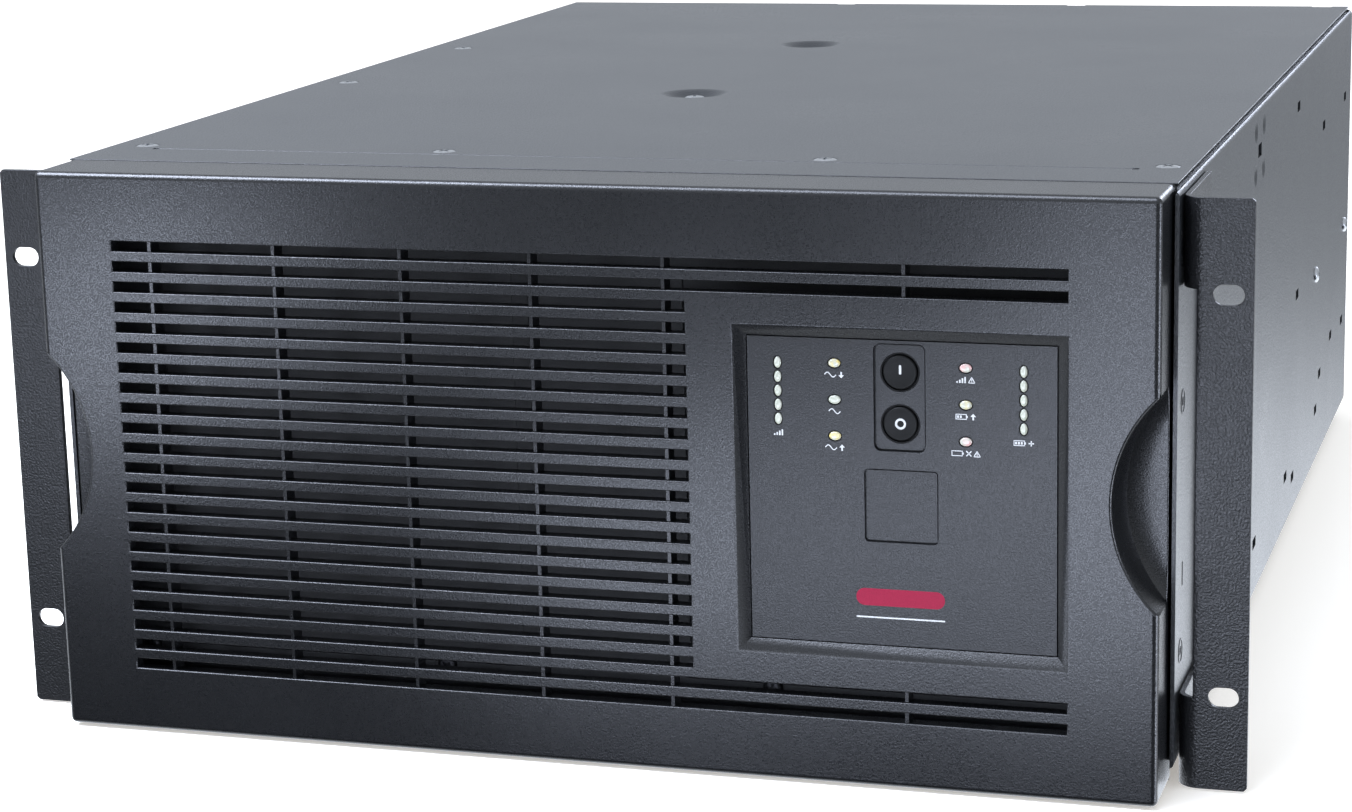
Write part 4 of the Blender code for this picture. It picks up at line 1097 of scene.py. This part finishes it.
def make_battery_door():
    door = Box("battery_door")
    back = door.back
    outline = rounded(0, door.z, door.right * 2, door.height, 3)
    holes = [rounded(side * 105, 30, 150, 5, 2.4) for side in (-1, 1)]
    parts = [plate("door_skin", "Y", outline, holes, back - 1.2, back, 0.25)]
    for low in (door.bottom, door.top - 1.5):
        parts.append(soften(make("lip", block((door.left + 6, door.right - 6),
                                              (door.front, back - 1.0), (low, low + 1.5))), 0.3))
    for x in (-180, -30, 30, 180):
        parts.append(make("rib", prism("Z", rounded(x, back - 1.2, 7, 1.4, 0.6),
                                       door.bottom + 24, door.top - 24)))
    # The door's near-black paint is painted shade behind the bezel's slots.
    finish(join("door_sheet", parts), "inner_paint", "battery_door", "battery_door")
    add_screws("door_screw", "dark_screw", "-Y",
               [(x, back - 1.2, z) for z in (door.top - 9, door.bottom + 9)
                for x in (-190, -65, 65, 190)], "battery_door")


def make_battery(tag):
    body = "battery_" + tag
    tray, pack, strap = (Box(f"battery_{part}_{tag}") for part in ("tray", "pack", "strap"))
    sheet = 1.2
    outline = [(tray.front, tray.bottom), (tray.back, tray.bottom), (tray.back, 60),
               (tray.back - sheet, 60), (tray.back - sheet, tray.bottom + sheet),
               (tray.front + sheet, tray.bottom + sheet), (tray.front + sheet, 150),
               (tray.front, 150)]
    bent = fillet(outline, [BEND, BEND, 0, 0, 0.6, 0.6, 0, 0])
    carrier = make(f"tray_{tag}", prism("X", bent, tray.left, tray.right))
    carve(carrier, *[prism("Y", rounded(tray.x + dx, 136, 26, 8, 3.9), tray.front - 1,
                           tray.front + 2) for dx in (-66, 66)])
    finish(carrier, "inner_steel", body, "battery_tray_" + tag, edge=0.2)
    count = 4
    pitch = (pack.back - pack.front) / count
    top = pack.top
    parts = []
    for k in range(count):
        front = pack.front + k * pitch + 0.6
        depth = pitch - 1.2
        for width, length, corner, low, high in (
                (184.6, depth, 3.0, pack.bottom, top - 20),
                (185.0, depth + 0.3, 3.2, top - 19.4, top - 7),
                (150, depth - 22, 4, top - 7.4, top - 3)):
            part = make("part", prism("Z", rounded(pack.x, front + depth / 2, width, length,
                                                   corner), low, high))
            coat(part.data, "battery_case")
            parts.append(soften(part, 0.8))
        for dx, paint in ((-80, "terminal_red"), (80, "battery_case")):
            cap = make("cap", turned("Z", pack.x + dx, front + 12, [
                (top - 7.4, 6.4), (top - 2.0, 6.0), (top - 0.6, 5.0), (top - 0.6, 0.1)], 24))
            coat(cap.data, paint)
            parts.append(cap)
    finish(join(f"battery_blocks_{tag}", parts), None, body, "battery_pack_" + tag)
    back = strap.back
    loop = [(strap.x + x, y) for x, y in (
        (-55, back), (-43, back), (-37, strap.front + 1.5), (37, strap.front + 1.5), (43, back),
        (55, back))]
    radii = [0, 4, 4, 4, 4, 0]
    band = fillet([(x, y - 1.5) for x, y in loop], radii, 6) + fillet(loop, radii, 6)[::-1]
    webbing = make(f"strap_{tag}", prism("Z", band, strap.bottom, strap.top))
    finish(webbing, "strap_webbing", body, "battery_strap_" + tag, edge=0.35)
    for side, end in SIDES:
        stitches = [prism("Z", centred(strap.x + side * 49 + dx, back - 1.55, 0.5, 0.35), z,
                          z + 2.4)
                    for dx in (-4, 4) for z in range(int(strap.bottom) + 2, int(strap.top) - 2, 4)]
        finish(make(f"stitching_{tag}_{end}", *stitches), "print_white", body)


# Rear fittings ----------------------------------------------------------------------------

FAN_BORE = 38
FAN_SIZE = 80
FAN_BOLT_REACH = 35.75
GUARD_REACH = 48.2
PORT_FACE = REAR.back + 0.3
SOCKET_HOLES = ((-5.5, 0.0), (5.5, 0.0), (0.0, 3.6))


def socket_outline(a, b, width, height, cut):
    """A mains outlet: a rectangle whose two upper corners are cut off."""
    left, right, top = a - width / 2, a + width / 2, b + height / 2
    return fillet([(left, b - height / 2), (right, b - height / 2), (right, top - cut),
                   (right - cut, top), (left + cut, top), (left, top - cut)], [1.2] * 6, 3)


def make_rear_panel():
    holes = []
    for tag in ("left", "right"):
        fan = Box("fan_rotor_" + tag)
        holes.append(circle(fan.x, fan.z, FAN_BORE, 72))
        holes += [circle(a, b, 2.2, 16) for a, b in corners(fan.x, fan.z, FAN_BOLT_REACH)]
    for level in ("upper", "lower"):
        for kind in ("bank", "large"):
            outlet = Box(f"outlet_{kind}_{level}")
            holes.append(rounded(outlet.x, outlet.z, outlet.width - 5.2, 30.8, 1))
        button = Box("breaker_button_" + level)
        holes.append(circle(button.x, button.z, 8.0, 32))
    for node, width, height in (("accessory_slot_cover", 100, 20), ("serial_port", 20.8, 11.8),
                                ("expansion_battery_connector", 52.8, 24.8)):
        fitting = Box(node)
        holes.append(rounded(fitting.x, fitting.z, width, height, 1))
    stud = Box("ground_stud")
    holes.append(circle(stud.x, stud.z, 3.6, 20))
    outline = rounded(0, REAR.z, 2 * REAR.right, REAR.height, 2.5)
    finish(plate("rear_sheet", "Y", outline, holes, REAR.front, REAR.back), "case_paint",
           "chassis", "rear_panel")
    edge = [(x, z) for x in (-207, 207) for z in (20, 75, 130, 205)]
    edge += [(-120, 20), (-20, 20), (75, 20), (-25, 205), (55, 207)]
    add_screws("rear_screw", "side_screw", "+Y", [(x, REAR.back, z) for x, z in edge])


def make_fan(tag):
    box = Box("fan_frame_" + tag)
    x, z, front, back = box.x, box.z, box.front, box.back
    bore = [circle(x, z, FAN_BORE, 72)]
    bolts = [circle(a, b, 2.2, 16) for a, b in corners(x, z, FAN_BOLT_REACH)]
    square = rounded(x, z, FAN_SIZE, FAN_SIZE, 4)
    parts = [plate("flange", "Y", square, bore + bolts, low, low + 3.5)
             for low in (front, back - 3.5)]
    parts.append(plate("barrel", "Y", circle(x, z, 39.7, 72), bore, front + 3, back - 3))
    for k in range(4):
        way = Vector((math.cos(TAU * (k + 0.5) / 4), math.sin(TAU * (k + 0.5) / 4)))
        ends = [tuple(Vector((x, z)) + way * radius) for radius in (13, 38.6)]
        parts.append(soften(make("strut", prism("Y", stroke(ends, 4.0), back - 3, back - 0.2)),
                            0.5))
    parts.append(make("hub", turned("Y", x, z, [
        (back - 3, 0.05), (back - 3, 15), (back - 0.6, 15), (back, 14.4), (back, 11.5),
        (back - 0.4, 11.0), (back - 0.4, 0.05)], 48)))
    finish(join("fan_housing_" + tag, parts), "black_plastic", "chassis", "fan_frame_" + tag)
    make_rotor(tag, x, z)
    make_guard(tag, x, z)


def make_rotor(tag, x, z):
    box = Box("fan_rotor_" + tag)
    low, high = box.front, box.back
    parts = [make("hub", turned("Y", x, z, [
        (low, 0.05), (low, 14.2), (low + 0.4, 15.4), (low + 1.6, 16.0), (high - 0.3, 16.0),
        (high, 15.7), (high, 0.05)], 56))]
    blades = 7
    steps = 10
    lines = ((15.0, 0.62), (20.0, 0.56), (26.0, 0.50), (31.5, 0.46), (36.2, 0.44))
    for k in range(blades):
        levels = []
        for step in range(steps + 1):
            share = step / steps
            sweep = share - 0.06 * math.sin(math.pi * share)
            ends = [(radius, TAU * k / blades + spread * sweep + offset)
                    for offset, row in ((-0.035, lines), (0.035, lines[::-1]))
                    for radius, spread in row]
            levels.append((low + 2.5 + (high - low - 3.5) * share,
                           [(x + radius * math.cos(angle), z + radius * math.sin(angle))
                            for radius, angle in ends]))
        parts.append(make("blade", ("Y", levels)))
    finish(join("fan_impeller_" + tag, parts), "black_plastic", "fan_" + tag,
           "fan_rotor_" + tag)


def make_guard(tag, x, z):
    guard = Box("fan_guard_" + tag)
    y = (guard.front + guard.back) / 2
    wires = [tube("ring", [(a, y, b) for a, b in circle(x, z, radius, 64)], 0.8, cyclic=True)
             for radius in (12, 18.5, 25, 31.5, 37.5)]
    for k in range(4):
        way = Vector((math.cos(TAU * (k + 0.5) / 4), 0, math.sin(TAU * (k + 0.5) / 4)))
        start, end = (Vector((x, y - 0.6, z)) + way * radius for radius in (12, GUARD_REACH))
        wires.append(tube("leg", [tuple(start), tuple(end)], 0.8))
        wires.append(ring("eye", "Y", (end.x, end.z), 3.9, 2.0, guard.front - 0.1,
                          guard.front + 1.2, 0.2, (24, 24)))
    finish(join("fan_grille_" + tag, wires), "bright_steel", "chassis", "fan_guard_" + tag)
    add_screws(f"fan_screw_{tag}", "small_screw", "+Y",
               [(a, guard.front + 1.1, b)
                for a, b in corners(x, z, GUARD_REACH * math.cos(math.pi / 4))])


def make_outlet(node, spots, opening, island, pins):
    """A framed outlet: an open face, a floor, and an island with its contact slots."""
    outlet = Box(node)
    face = outlet.back
    holes = [opening(x, outlet.z) for x in spots]
    body = rounded(outlet.x, outlet.z, outlet.width - 6, 30, 1.2)
    parts = [plate("face", "Y", rounded(outlet.x, outlet.z, outlet.width, outlet.height, 1.6),
                   holes, face - 2.5, face, 0.35),
             plate("body", "Y", body, holes, face - 18.5, face - 2.4, 0.2),
             soften(make("floor", prism("Y", body, outlet.front, face - 18.4)), 0.3)]
    brass = []
    for x in spots:
        contacts = [(x + dx, outlet.z + dz) for dx, dz in SOCKET_HOLES]
        parts.append(plate("island", "Y", island(x, outlet.z), [pins(*spot) for spot in contacts],
                           face - 18.5, face - 1.0, 0.3))
        brass += [prism("Y", centred(*spot, 1.2, 3.4), face - 17, face - 6) for spot in contacts]
    finish(join(node + "_sockets", parts), "black_plastic", "chassis", node)
    finish(make(node + "_contacts", *brass), "brass_stud", "chassis")
    add_screws(node + "_screw", "small_screw", "+Y",
               [(outlet.x + side * (outlet.width / 2 + 4.5), REAR.back, outlet.z)
                for side in (-1, 1)])


def make_outlets():
    pitch = 36.0
    for level in ("upper", "lower"):
        bank = Box("outlet_bank_" + level)
        make_outlet("outlet_bank_" + level, [bank.x + (k - 1.5) * pitch for k in range(4)],
                    lambda a, b: socket_outline(a, b, 27, 19, 5),
                    lambda a, b: socket_outline(a, b, 22, 14, 4),
                    lambda a, b: rounded(a, b, 2.4, 5.0, 0.5))
        large = Box("outlet_large_" + level)
        make_outlet("outlet_large_" + level, [large.x], lambda a, b: rounded(a, b, 30.5, 23.5, 2),
                    lambda a, b: rounded(a, b, 25, 18, 2),
                    lambda a, b: rounded(a, b, 2.6, 6.0, 0.4))


def make_breakers():
    face = REAR.back
    inside = REAR.front - 0.3
    for level in ("upper", "lower"):
        body = Box("breaker_" + level)
        button = Box("breaker_button_" + level)
        x, z, tip = button.x, button.z, button.back
        threads = [(inside - 0.2, 4.9), (inside - 0.2, 7.2)]
        threads += [(face + 0.55 * k, 7.6 if k % 2 else 7.2) for k in range(7)]
        threads += [(body.back, 7.0), (body.back, 4.9)]
        parts = [soften(make("case", prism("Y", rounded(x, z, 24, 24, 1.5), body.front, inside)),
                        0.5),
                 make("bush", turned("Y", x, z, threads)),
                 ring("nut", "Y", (x, z), 10.2, 7.3, face + 0.1, face + 2.6, 0.3, (6, 40))]
        finish(join(f"breaker_{level}_case", parts), "black_plastic", "chassis",
               "breaker_" + level)
        profile = [(button.front, 0.05), (button.front, 4.5), (tip - 0.9, 4.5), (tip - 0.3, 4.2),
                   (tip, 3.5), (tip - 0.15, 2.0), (tip - 0.3, 0.05)]
        finish(make(f"breaker_{level}_plunger", turned("Y", x, z, profile)), "button_red",
               "breaker_button_" + level, "breaker_button_" + level)


def make_input_cover():
    cover = Box("input_terminal_cover")
    gland = Box("cable_gland")
    x, y, low, high = gland.x, gland.y, cover.bottom, cover.back
    outline = rounded(cover.x, cover.z, cover.width, cover.height, 3)
    inner = rounded(cover.x, cover.z, cover.width - 3, cover.height - 3, 1.5)
    disc = (cover.x - 22, cover.z + 6)
    shell = make("terminal_box", prism("Y", outline, cover.front, high))
    carve(shell, prism("Y", inner, cover.front - 1, high - SHEET))
    carve(shell, turned("Z", x, y, [(low - 1, 7.2), (low + 3, 7.2)]))
    carve(shell, turned("Y", *disc, [(high - 0.25, 12.0), (high + 0.3, 12.6)], 48))
    merge(shell, turned("Y", *disc, [(high - 1, 11.2), (high - 0.1, 10.8)], 48))
    finish(shell, "case_paint", "chassis", "input_terminal_cover", edge=0.5)
    add_screws("terminal_box_screw", "small_screw", "+Y",
               [(a, high - 0.6, b) for a in (cover.left + 9, cover.right - 9)
                for b in (low + 9, cover.top - 9)])
    ribs = 18
    dome = make("dome", ("Z", [
        (gland.bottom + step, fluted(x, y, (radius, radius + ridge), 2 * ribs))
        for step, radius, ridge in ((0, 6.3, 0), (2.5, 8.0, 0), (6, 9.2, 0.35),
                                    (12.6, 9.4, 0.35), (13, 9.1, 0.35))]))
    carve(dome, turned("Z", x, y, [(gland.bottom - 1, 4.7), (gland.bottom + 14, 4.7)]))
    parts = [ring("nut", "Z", (x, y), 11.2, 6.6, low - 5, low - 0.3, 0.35, (6, 40)),
             ring("neck", "Z", (x, y), 8.2, 4.7, low - 9.5, low - 4.6, 0.1),
             ring("stub", "Z", (x, y), 6.8, 4.7, low - 1, gland.top, 0.2), dome]
    finish(join("gland_parts", parts), "black_plastic", "chassis", "cable_gland")


def knurled(x, z, low, high, radius):
    """A thumbscrew head with a fluted rim and a driver slot."""
    levels = [(y, fluted(x, z, (radius * share, radius * share * 0.95), 28))
              for y, share in ((low, 0.92), (low + 0.4, 1.0), (high - 0.6, 1.0), (high, 0.88))]
    return carve(make("thumbscrew", ("Y", levels)),
                 block((x - radius, x + radius), (high - 1.0, high + 1), (z - 0.6, z + 0.6)))


def make_slot_cover():
    slot = Box("accessory_slot_cover")
    parts = [plate("blank", "Y", rounded(slot.x, slot.z, slot.width, slot.height, 1.5),
                   [rounded(slot.x + dx, slot.z, 3.4, 12, 1.6) for dx in range(-28, 29, 8)],
                   slot.front, slot.front + 1.2, 0.25)]
    parts += [knurled(slot.x + dx, slot.z, slot.front + 1.1, slot.back, 4.5) for dx in (-54, 54)]
    finish(join("slot_blank", parts), "bright_steel", "chassis", "accessory_slot_cover")


def make_serial_port():
    port = Box("serial_port")
    x, z = port.x, port.z
    face = PORT_FACE
    shell = [(8.2, 4.0), (-8.2, 4.0), (-6.8, -4.0), (6.8, -4.0)]
    outer = fillet([(x - a, z + b) for a, b in shell], [1.6] * 4)
    inner = fillet([(x - a * 0.9, z + b * 0.8) for a, b in shell], [1.2] * 4)
    parts = [plate("flange", "Y", rounded(x, z, 31, 12.5, 2), [], face, face + 1, 0.25),
             plate("collar", "Y", outer, [inner], face + 0.5, face + 6, 0.2),
             soften(make("body", prism("Y", rounded(x, z, 20, 11, 1), port.front, face + 0.2)),
                    0.2)]
    parts += [ring("jack", "Y", (x + dx, z), 2.7, 1.3, face + 0.9, face + 5, 0.2, (6, 20))
              for dx in (-12.5, 12.5)]
    finish(join("port_shell", parts), "bright_steel", "chassis", "serial_port")
    pins = [circle(x + 2.77 * (k - (count - 1) / 2), z + dz, 0.55, 12)
            for dz, count in ((1.4, 5), (-1.4, 4)) for k in range(count)]
    finish(plate("port_insert", "Y", inner, pins, face + 0.9, face + 5.2, 0.08),
           "black_plastic", "chassis")


def make_battery_socket():
    power = Box("expansion_battery_connector")
    x, z = power.x, power.z
    face = PORT_FACE
    body = rounded(x, z, 52, 24, 2)
    mouths = [rounded(x + dx, z, 20, 15, 1.5) for dx in (-12, 12)]
    parts = [plate("flange", "Y", rounded(x, z, 62, 30, 3), mouths, face, face + 2),
             plate("housing", "Y", body, mouths, face - 15, power.back, 0.6),
             soften(make("floor", prism("Y", body, power.front, face - 14.8)), 0.4)]
    finish(join("battery_socket", parts), "connector_grey", "chassis",
           "expansion_battery_connector")
    blades = [soften(make("blade", prism("Y", rounded(x + dx, z, 13.6, 9, 1), face - 15,
                                         face + 4)), 0.8) for dx in (-12, 12)]
    finish(join("battery_socket_contacts", blades), "bright_steel", "chassis")


def make_ground_stud():
    stud = Box("ground_stud")
    x, z = stud.x, stud.z
    face = PORT_FACE
    thread = [(stud.front, 0.05), (stud.front, 2.7)]
    y = stud.front
    while y < stud.back - 1.0:
        y += 0.45
        thread.append((y, 3.0 if len(thread) % 2 else 2.65))
    thread += [(stud.back, 2.3), (stud.back, 0.05)]
    parts = [make("rod", turned("Y", x, z, thread, 28)),
             ring("washer", "Y", (x, z), 7.0, 2.9, face, face + 1.2, 0.2),
             ring("nut", "Y", (x, z), 6.1, 2.9, face + 1.2, face + 6, 0.4, (6, 40))]
    finish(join("ground_post", parts), "brass_stud", "chassis", "ground_stud")


# Studio -----------------------------------------------------------------------------------

def make_stage():
    """A white floor, and a white wall round it that only the camera sees."""
    floor_paint = Paint("stage_floor", "none", 0.9, Emission_Color=(1, 0.95, 0.88, 1),
                        Emission_Strength=0.36)
    floor_paint.colour((0.88, 0.85, 0.79), (0.91, 0.88, 0.82), floor_paint.noise(400))
    wall_paint = Paint("stage_wall", "none", 1.0, Emission_Strength=1.0)
    wall_paint.lead(wall_paint.colour((0.97, 0.97, 0.97), (1.0, 1.0, 1.0),
                                      wall_paint.noise(900)), "Emission Color")
    reach = 9000
    floor = make("stage_floor", prism("Z", rect(-reach, reach, -reach, reach), -20, -0.2))
    wall = ring("stage_wall", "Z", (0, 0), reach - 300, reach - 400, -15, 6000, 1, (96, 96))
    for thing in (floor, wall):
        coat(thing.data, thing.name)
        thing.visible_glossy = False
        thing.visible_shadow = False
    wall.visible_diffuse = False


def make_world():
    """White overhead, grey at the back, and a dark table edge below the horizon in front."""
    world = bpy.data.worlds.new("studio")
    bpy.context.scene.world = world
    world.use_nodes = True
    nodes = Nodes(world.node_tree)
    sky = nodes.node("ShaderNodeTexCoord", {})["Generated"]
    way = nodes.node("ShaderNodeSeparateXYZ", {0: sky})

    def remap(value, *limits):
        return nodes.remap(value, *limits, interpolation_type="SMOOTHSTEP")

    def blend(low, high, share):
        return nodes.node("ShaderNodeMix", {2: low, 3: high, "Factor": share},
                          data_type="FLOAT")[0]

    overhead, back, side, floor, front = 0.95, 0.80, 0.40, 2.3, 0.02
    height = way["Z"]
    ahead = remap(way["Y"], -0.45, 0.05, 1.0, 0.0)
    above = blend(remap(height, 0.30, 0.75, back, overhead), overhead, ahead)
    below = blend(remap(height, -0.245, -0.18, floor, side), front, ahead)
    background = nodes.tree.nodes["Background"]
    background.inputs["Color"].default_value = (0.925, 0.985, 1.075, 1.0)
    nodes.tree.links.new(blend(below, above, remap(height, -0.16, -0.03, 0.0, 1.0)),
                         background.inputs["Strength"])


def make_lights():
    """Soft boxes: name, place and aim in metres, size in metres and power in watts."""
    for name, place_of, aim, size, power in (
            ("left_box", (-0.356, -0.680, 0.091), (-0.175, -0.33, 0.166), (0.12, 0.12), 0.43),
            ("low_box", (-0.010, -0.680, -0.004), (0.085, -0.33, 0.09), (0.26, 0.09), 0.58),
            ("right_box", (0.163, -0.680, 0.058), (0.215, -0.33, 0.13), (0.09, 0.25), 0.50),
            ("top_box", (-0.10, -0.75, 1.60), (-0.05, -0.25, 0.15), (0.6, 0.8), 14),
            ("rim_box", (0.85, 2.80, 1.05), (0.2, 0.0, 0.2), (0.8, 0.6), 16),
            ("edge_box", (1.00, -0.43, -0.04), (0.2, -0.32, 0.11), (0.12, 0.5), 4.0),
            ("crown_box", (-0.90, -0.72, 1.40), (-0.15, -0.33, 0.21), (0.75, 0.9), 52)):
        light = bpy.data.lights.new(name, "AREA")
        light.shape = "RECTANGLE"
        light.size, light.size_y = size
        light.energy = power
        light.color = (0.88, 0.96, 1.16)
        holder = link(name, light)
        holder.location = place_of
        facing = Vector(aim) - Vector(place_of)
        holder.rotation_euler = facing.to_track_quat("-Z", "Y").to_euler()
        holder.visible_camera = False


def make_camera():
    yaw, pitch, roll = 0.30411, 0.22239, -0.02482
    forward = Vector((-math.sin(yaw) * math.cos(pitch), math.cos(yaw) * math.cos(pitch),
                      -math.sin(pitch)))
    level = Vector((math.cos(yaw), math.sin(yaw), 0))
    up = level.cross(forward)
    right = math.cos(roll) * level + math.sin(roll) * up
    top = -math.sin(roll) * level + math.cos(roll) * up
    data = bpy.data.cameras.new("camera")
    data.sensor_fit = "HORIZONTAL"
    data.sensor_width = 36
    data.lens = 84.85
    data.clip_end = 60
    camera = link("camera", data)
    camera.matrix_world = Matrix.Translation((0.3734, -1.3955, 0.3919)) @ Matrix(
        (right, top, -forward)).transposed().to_4x4()
    bpy.context.scene.camera = camera


# Assembly ---------------------------------------------------------------------------------

make_camera()
make_world()
make_lights()
bpy.context.scene.view_settings.view_transform = "Standard"
make_materials()
repaint_cad_nodes()
make_stage()

make_screw("side_screw")
make_screw("small_screw", 6.0, 1.7, 1.0)
make_screw("lid_screw", 8.8, 0.9, 0.8)
make_screw("dish_screw", 9.4, 2.3, 1.0)
make_screw("dark_screw", paint="black_oxide")

make_bezel()
make_display_panel()
make_lenses()
make_buttons()
make_prints()

make_base_pan()
make_top_cover()
make_front_frame()
make_ears()
make_feet()
for name, depth, spots in (("lid_screw", 0.6, TOP_SCREWS), ("dish_screw", 3.25, DISHES[:1])):
    add_screws(name, name, "+Z", [(x, FRONT + y, COVER_TOP - depth) for x, y in spots])
for side, tag in SIDES:
    add_screws(f"case_screw_{tag}", "side_screw", "-X" if side < 0 else "+X",
               [(side * PAN.right, FRONT + y, z) for y, z in SIDE_SCREWS])

make_battery_door()
make_battery("left")
make_battery("right")

make_rear_panel()
make_fan("left")
make_fan("right")
make_outlets()
make_breakers()
make_input_cover()
make_slot_cover()
make_serial_port()
make_battery_socket()
make_ground_stud()
